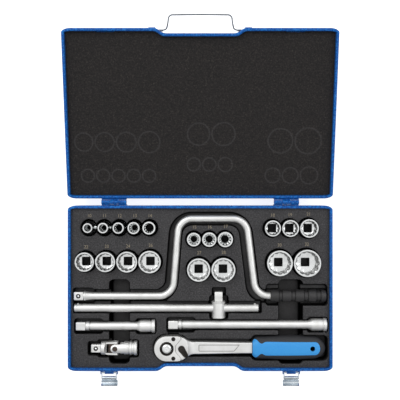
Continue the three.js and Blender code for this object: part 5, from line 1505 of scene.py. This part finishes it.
def makeLatch(side, label):
    # a bracket on the case, a link on the bracket and a lever on the link
    half, sheet = latch["wide"] / 2, latch["sheet"]
    reach = half - sheet - latch["play"]
    at = (side * latchX, frontFace - latch["out"], latch["height"])
    for kind, parts, finish, slot in (("Bracket", bracketParts(half, sheet), "enamel", "case_paint"),
                                      ("Link", linkParts(half, sheet, reach), "zinc", "zinc_plate"),
                                      ("Lever", leverParts(half, sheet, reach), "zinc", "zinc_plate")):
        node = "latch_%s_%s" % (kind.lower(), label)
        body = "case" if kind == "Bracket" else node
        addPiece("latch" + kind + label.capitalize(), [shifted(part, at) for part in parts],
                 finishes[finish], body, [node], 30)


for side, label in ((-1, "left"), (1, "right")):
    end = label.capitalize()
    makeHingeLeaf("hingeBaseLeaf" + end, "hinge_base_leaf_" + label, side, "case",
                  [(-19.5, -6.8), (6.8, 19.5)], False)
    makeHingeLeaf("hingeLidLeaf" + end, "hinge_lid_leaf_" + label, side, "lid", [(-6.5, 6.5)], True)
    makeHingePin("hingePin" + end, "hinge_pin_" + label, side)
    makeLatch(side, label)
makeHandle()
say("hardware")

studio = {"cameraAt": (-0.0003, 0.1386, 1.142), "lens": 63.2, "sky": 0.42, "floorGlow": 0.8, "floorHalf": 4,
          "floorBelow": 0.0002, "brightSide": (0, 0.6, 0.8), "dim": 0.4, "aim": (0, 0.13, 0),
          "boxes": {"keyBox": ((-0.9, 1.0, 1.7), 12.0), "fillBox": ((1.2, 0.5, 1.5), 7.0)}, "boxSize": 1.2}


def makeFloor():
    # white paper; what looks at it, straight or mirrored, also sees a glow that lights nothing
    half = studio["floorHalf"]
    mesh = bpy.data.meshes.new("floor")
    corners = [(-half, -half, 0), (half, -half, 0), (half, half, 0), (-half, half, 0)]
    mesh.from_pydata(corners, [], [(0, 1, 2, 3)])
    floor = bpy.data.objects.new("floor", mesh)
    floor.location.z = -studio["floorBelow"]
    bpy.context.scene.collection.objects.link(floor)
    paper = bpy.data.materials.new("whitePaper")
    paper.use_nodes = True
    tree = paper.node_tree
    tree.nodes.clear()
    matt = addNode(tree, "ShaderNodeBsdfDiffuse", None, {"Color": (0.9, 0.9, 0.9, 1)})
    glow = addNode(tree, "ShaderNodeEmission", None, {"Color": (1, 1, 1, 1), "Strength": studio["floorGlow"]})
    path = addNode(tree, "ShaderNodeLightPath")
    looked = addNode(tree, "ShaderNodeMath", {"operation": "MAXIMUM"}, {
        0: (path, "Is Camera Ray"), 1: (path, "Is Glossy Ray")})
    seen = addNode(tree, "ShaderNodeMath", {"operation": "MAXIMUM"}, {
        0: (looked, 0), 1: (path, "Is Transmission Ray")})
    both = addNode(tree, "ShaderNodeAddShader", None, {0: (matt, 0), 1: (glow, 0)})
    lift = addNode(tree, "ShaderNodeMixShader", None, {0: (seen, 0), 1: (matt, 0), 2: (both, 0)})
    addNode(tree, "ShaderNodeOutputMaterial", None, {"Surface": (lift, 0)})
    mesh.materials.append(paper)


def makeSky():
    # white backdrop for what is seen, a dimmer sky for light; metal sees it fall off away from the back wall
    world = bpy.data.worlds.new("studio")
    bpy.context.scene.world = world
    world.use_nodes = True
    tree = world.node_tree
    tree.nodes.clear()
    path = addNode(tree, "ShaderNodeLightPath")
    seen = addNode(tree, "ShaderNodeMath", {"operation": "MAXIMUM"}, {
        0: (path, "Is Camera Ray"), 1: (path, "Is Transmission Ray")})
    coords = addNode(tree, "ShaderNodeTexCoord")
    toward = addNode(tree, "ShaderNodeVectorMath", {"operation": "DOT_PRODUCT"}, {
        0: (coords, "Generated"), 1: studio["brightSide"]})
    wall = addNode(tree, "ShaderNodeMapRange", None, {
        "Value": (toward, "Value"), "From Min": -0.25, "From Max": 0.8, "To Min": studio["dim"], "To Max": 1.0})
    mirrored = addNode(tree, "ShaderNodeMix", None, {
        0: (path, "Is Glossy Ray"), 2: studio["sky"], 3: (wall, 0)})
    strength = addNode(tree, "ShaderNodeMix", None, {0: (seen, 0), 2: (mirrored, 0), 3: 1.0})
    sky = addNode(tree, "ShaderNodeBackground", None, {"Color": (1, 1, 1, 1), "Strength": (strength, 0)})
    addNode(tree, "ShaderNodeOutputWorld", None, {"Surface": (sky, 0)})


def softBox(name, place, power):
    # a square lamp that looks at the set
    lamp = bpy.data.lights.new(name, "AREA")
    lamp.shape = "RECTANGLE"
    lamp.size = lamp.size_y = studio["boxSize"]
    lamp.energy = power
    holder = bpy.data.objects.new(name, lamp)
    holder.location = place
    holder.rotation_euler = (Vector(studio["aim"]) - Vector(place)).to_track_quat("-Z", "Y").to_euler()
    bpy.context.scene.collection.objects.link(holder)


def makeCamera():
    # straight above, far enough for a flat view
    data = bpy.data.cameras.new("camera")
    data.lens = studio["lens"]
    data.sensor_width = 36
    data.clip_start, data.clip_end = 0.05, 20
    camera = bpy.data.objects.new("camera", data)
    camera.location = studio["cameraAt"]
    bpy.context.scene.collection.objects.link(camera)
    bpy.context.scene.camera = camera
    bpy.context.scene.view_settings.view_transform = "Standard"


makeFloor()
makeSky()
for name, (place, power) in studio["boxes"].items():
    softBox(name, place, power)
makeCamera()
say("studio")
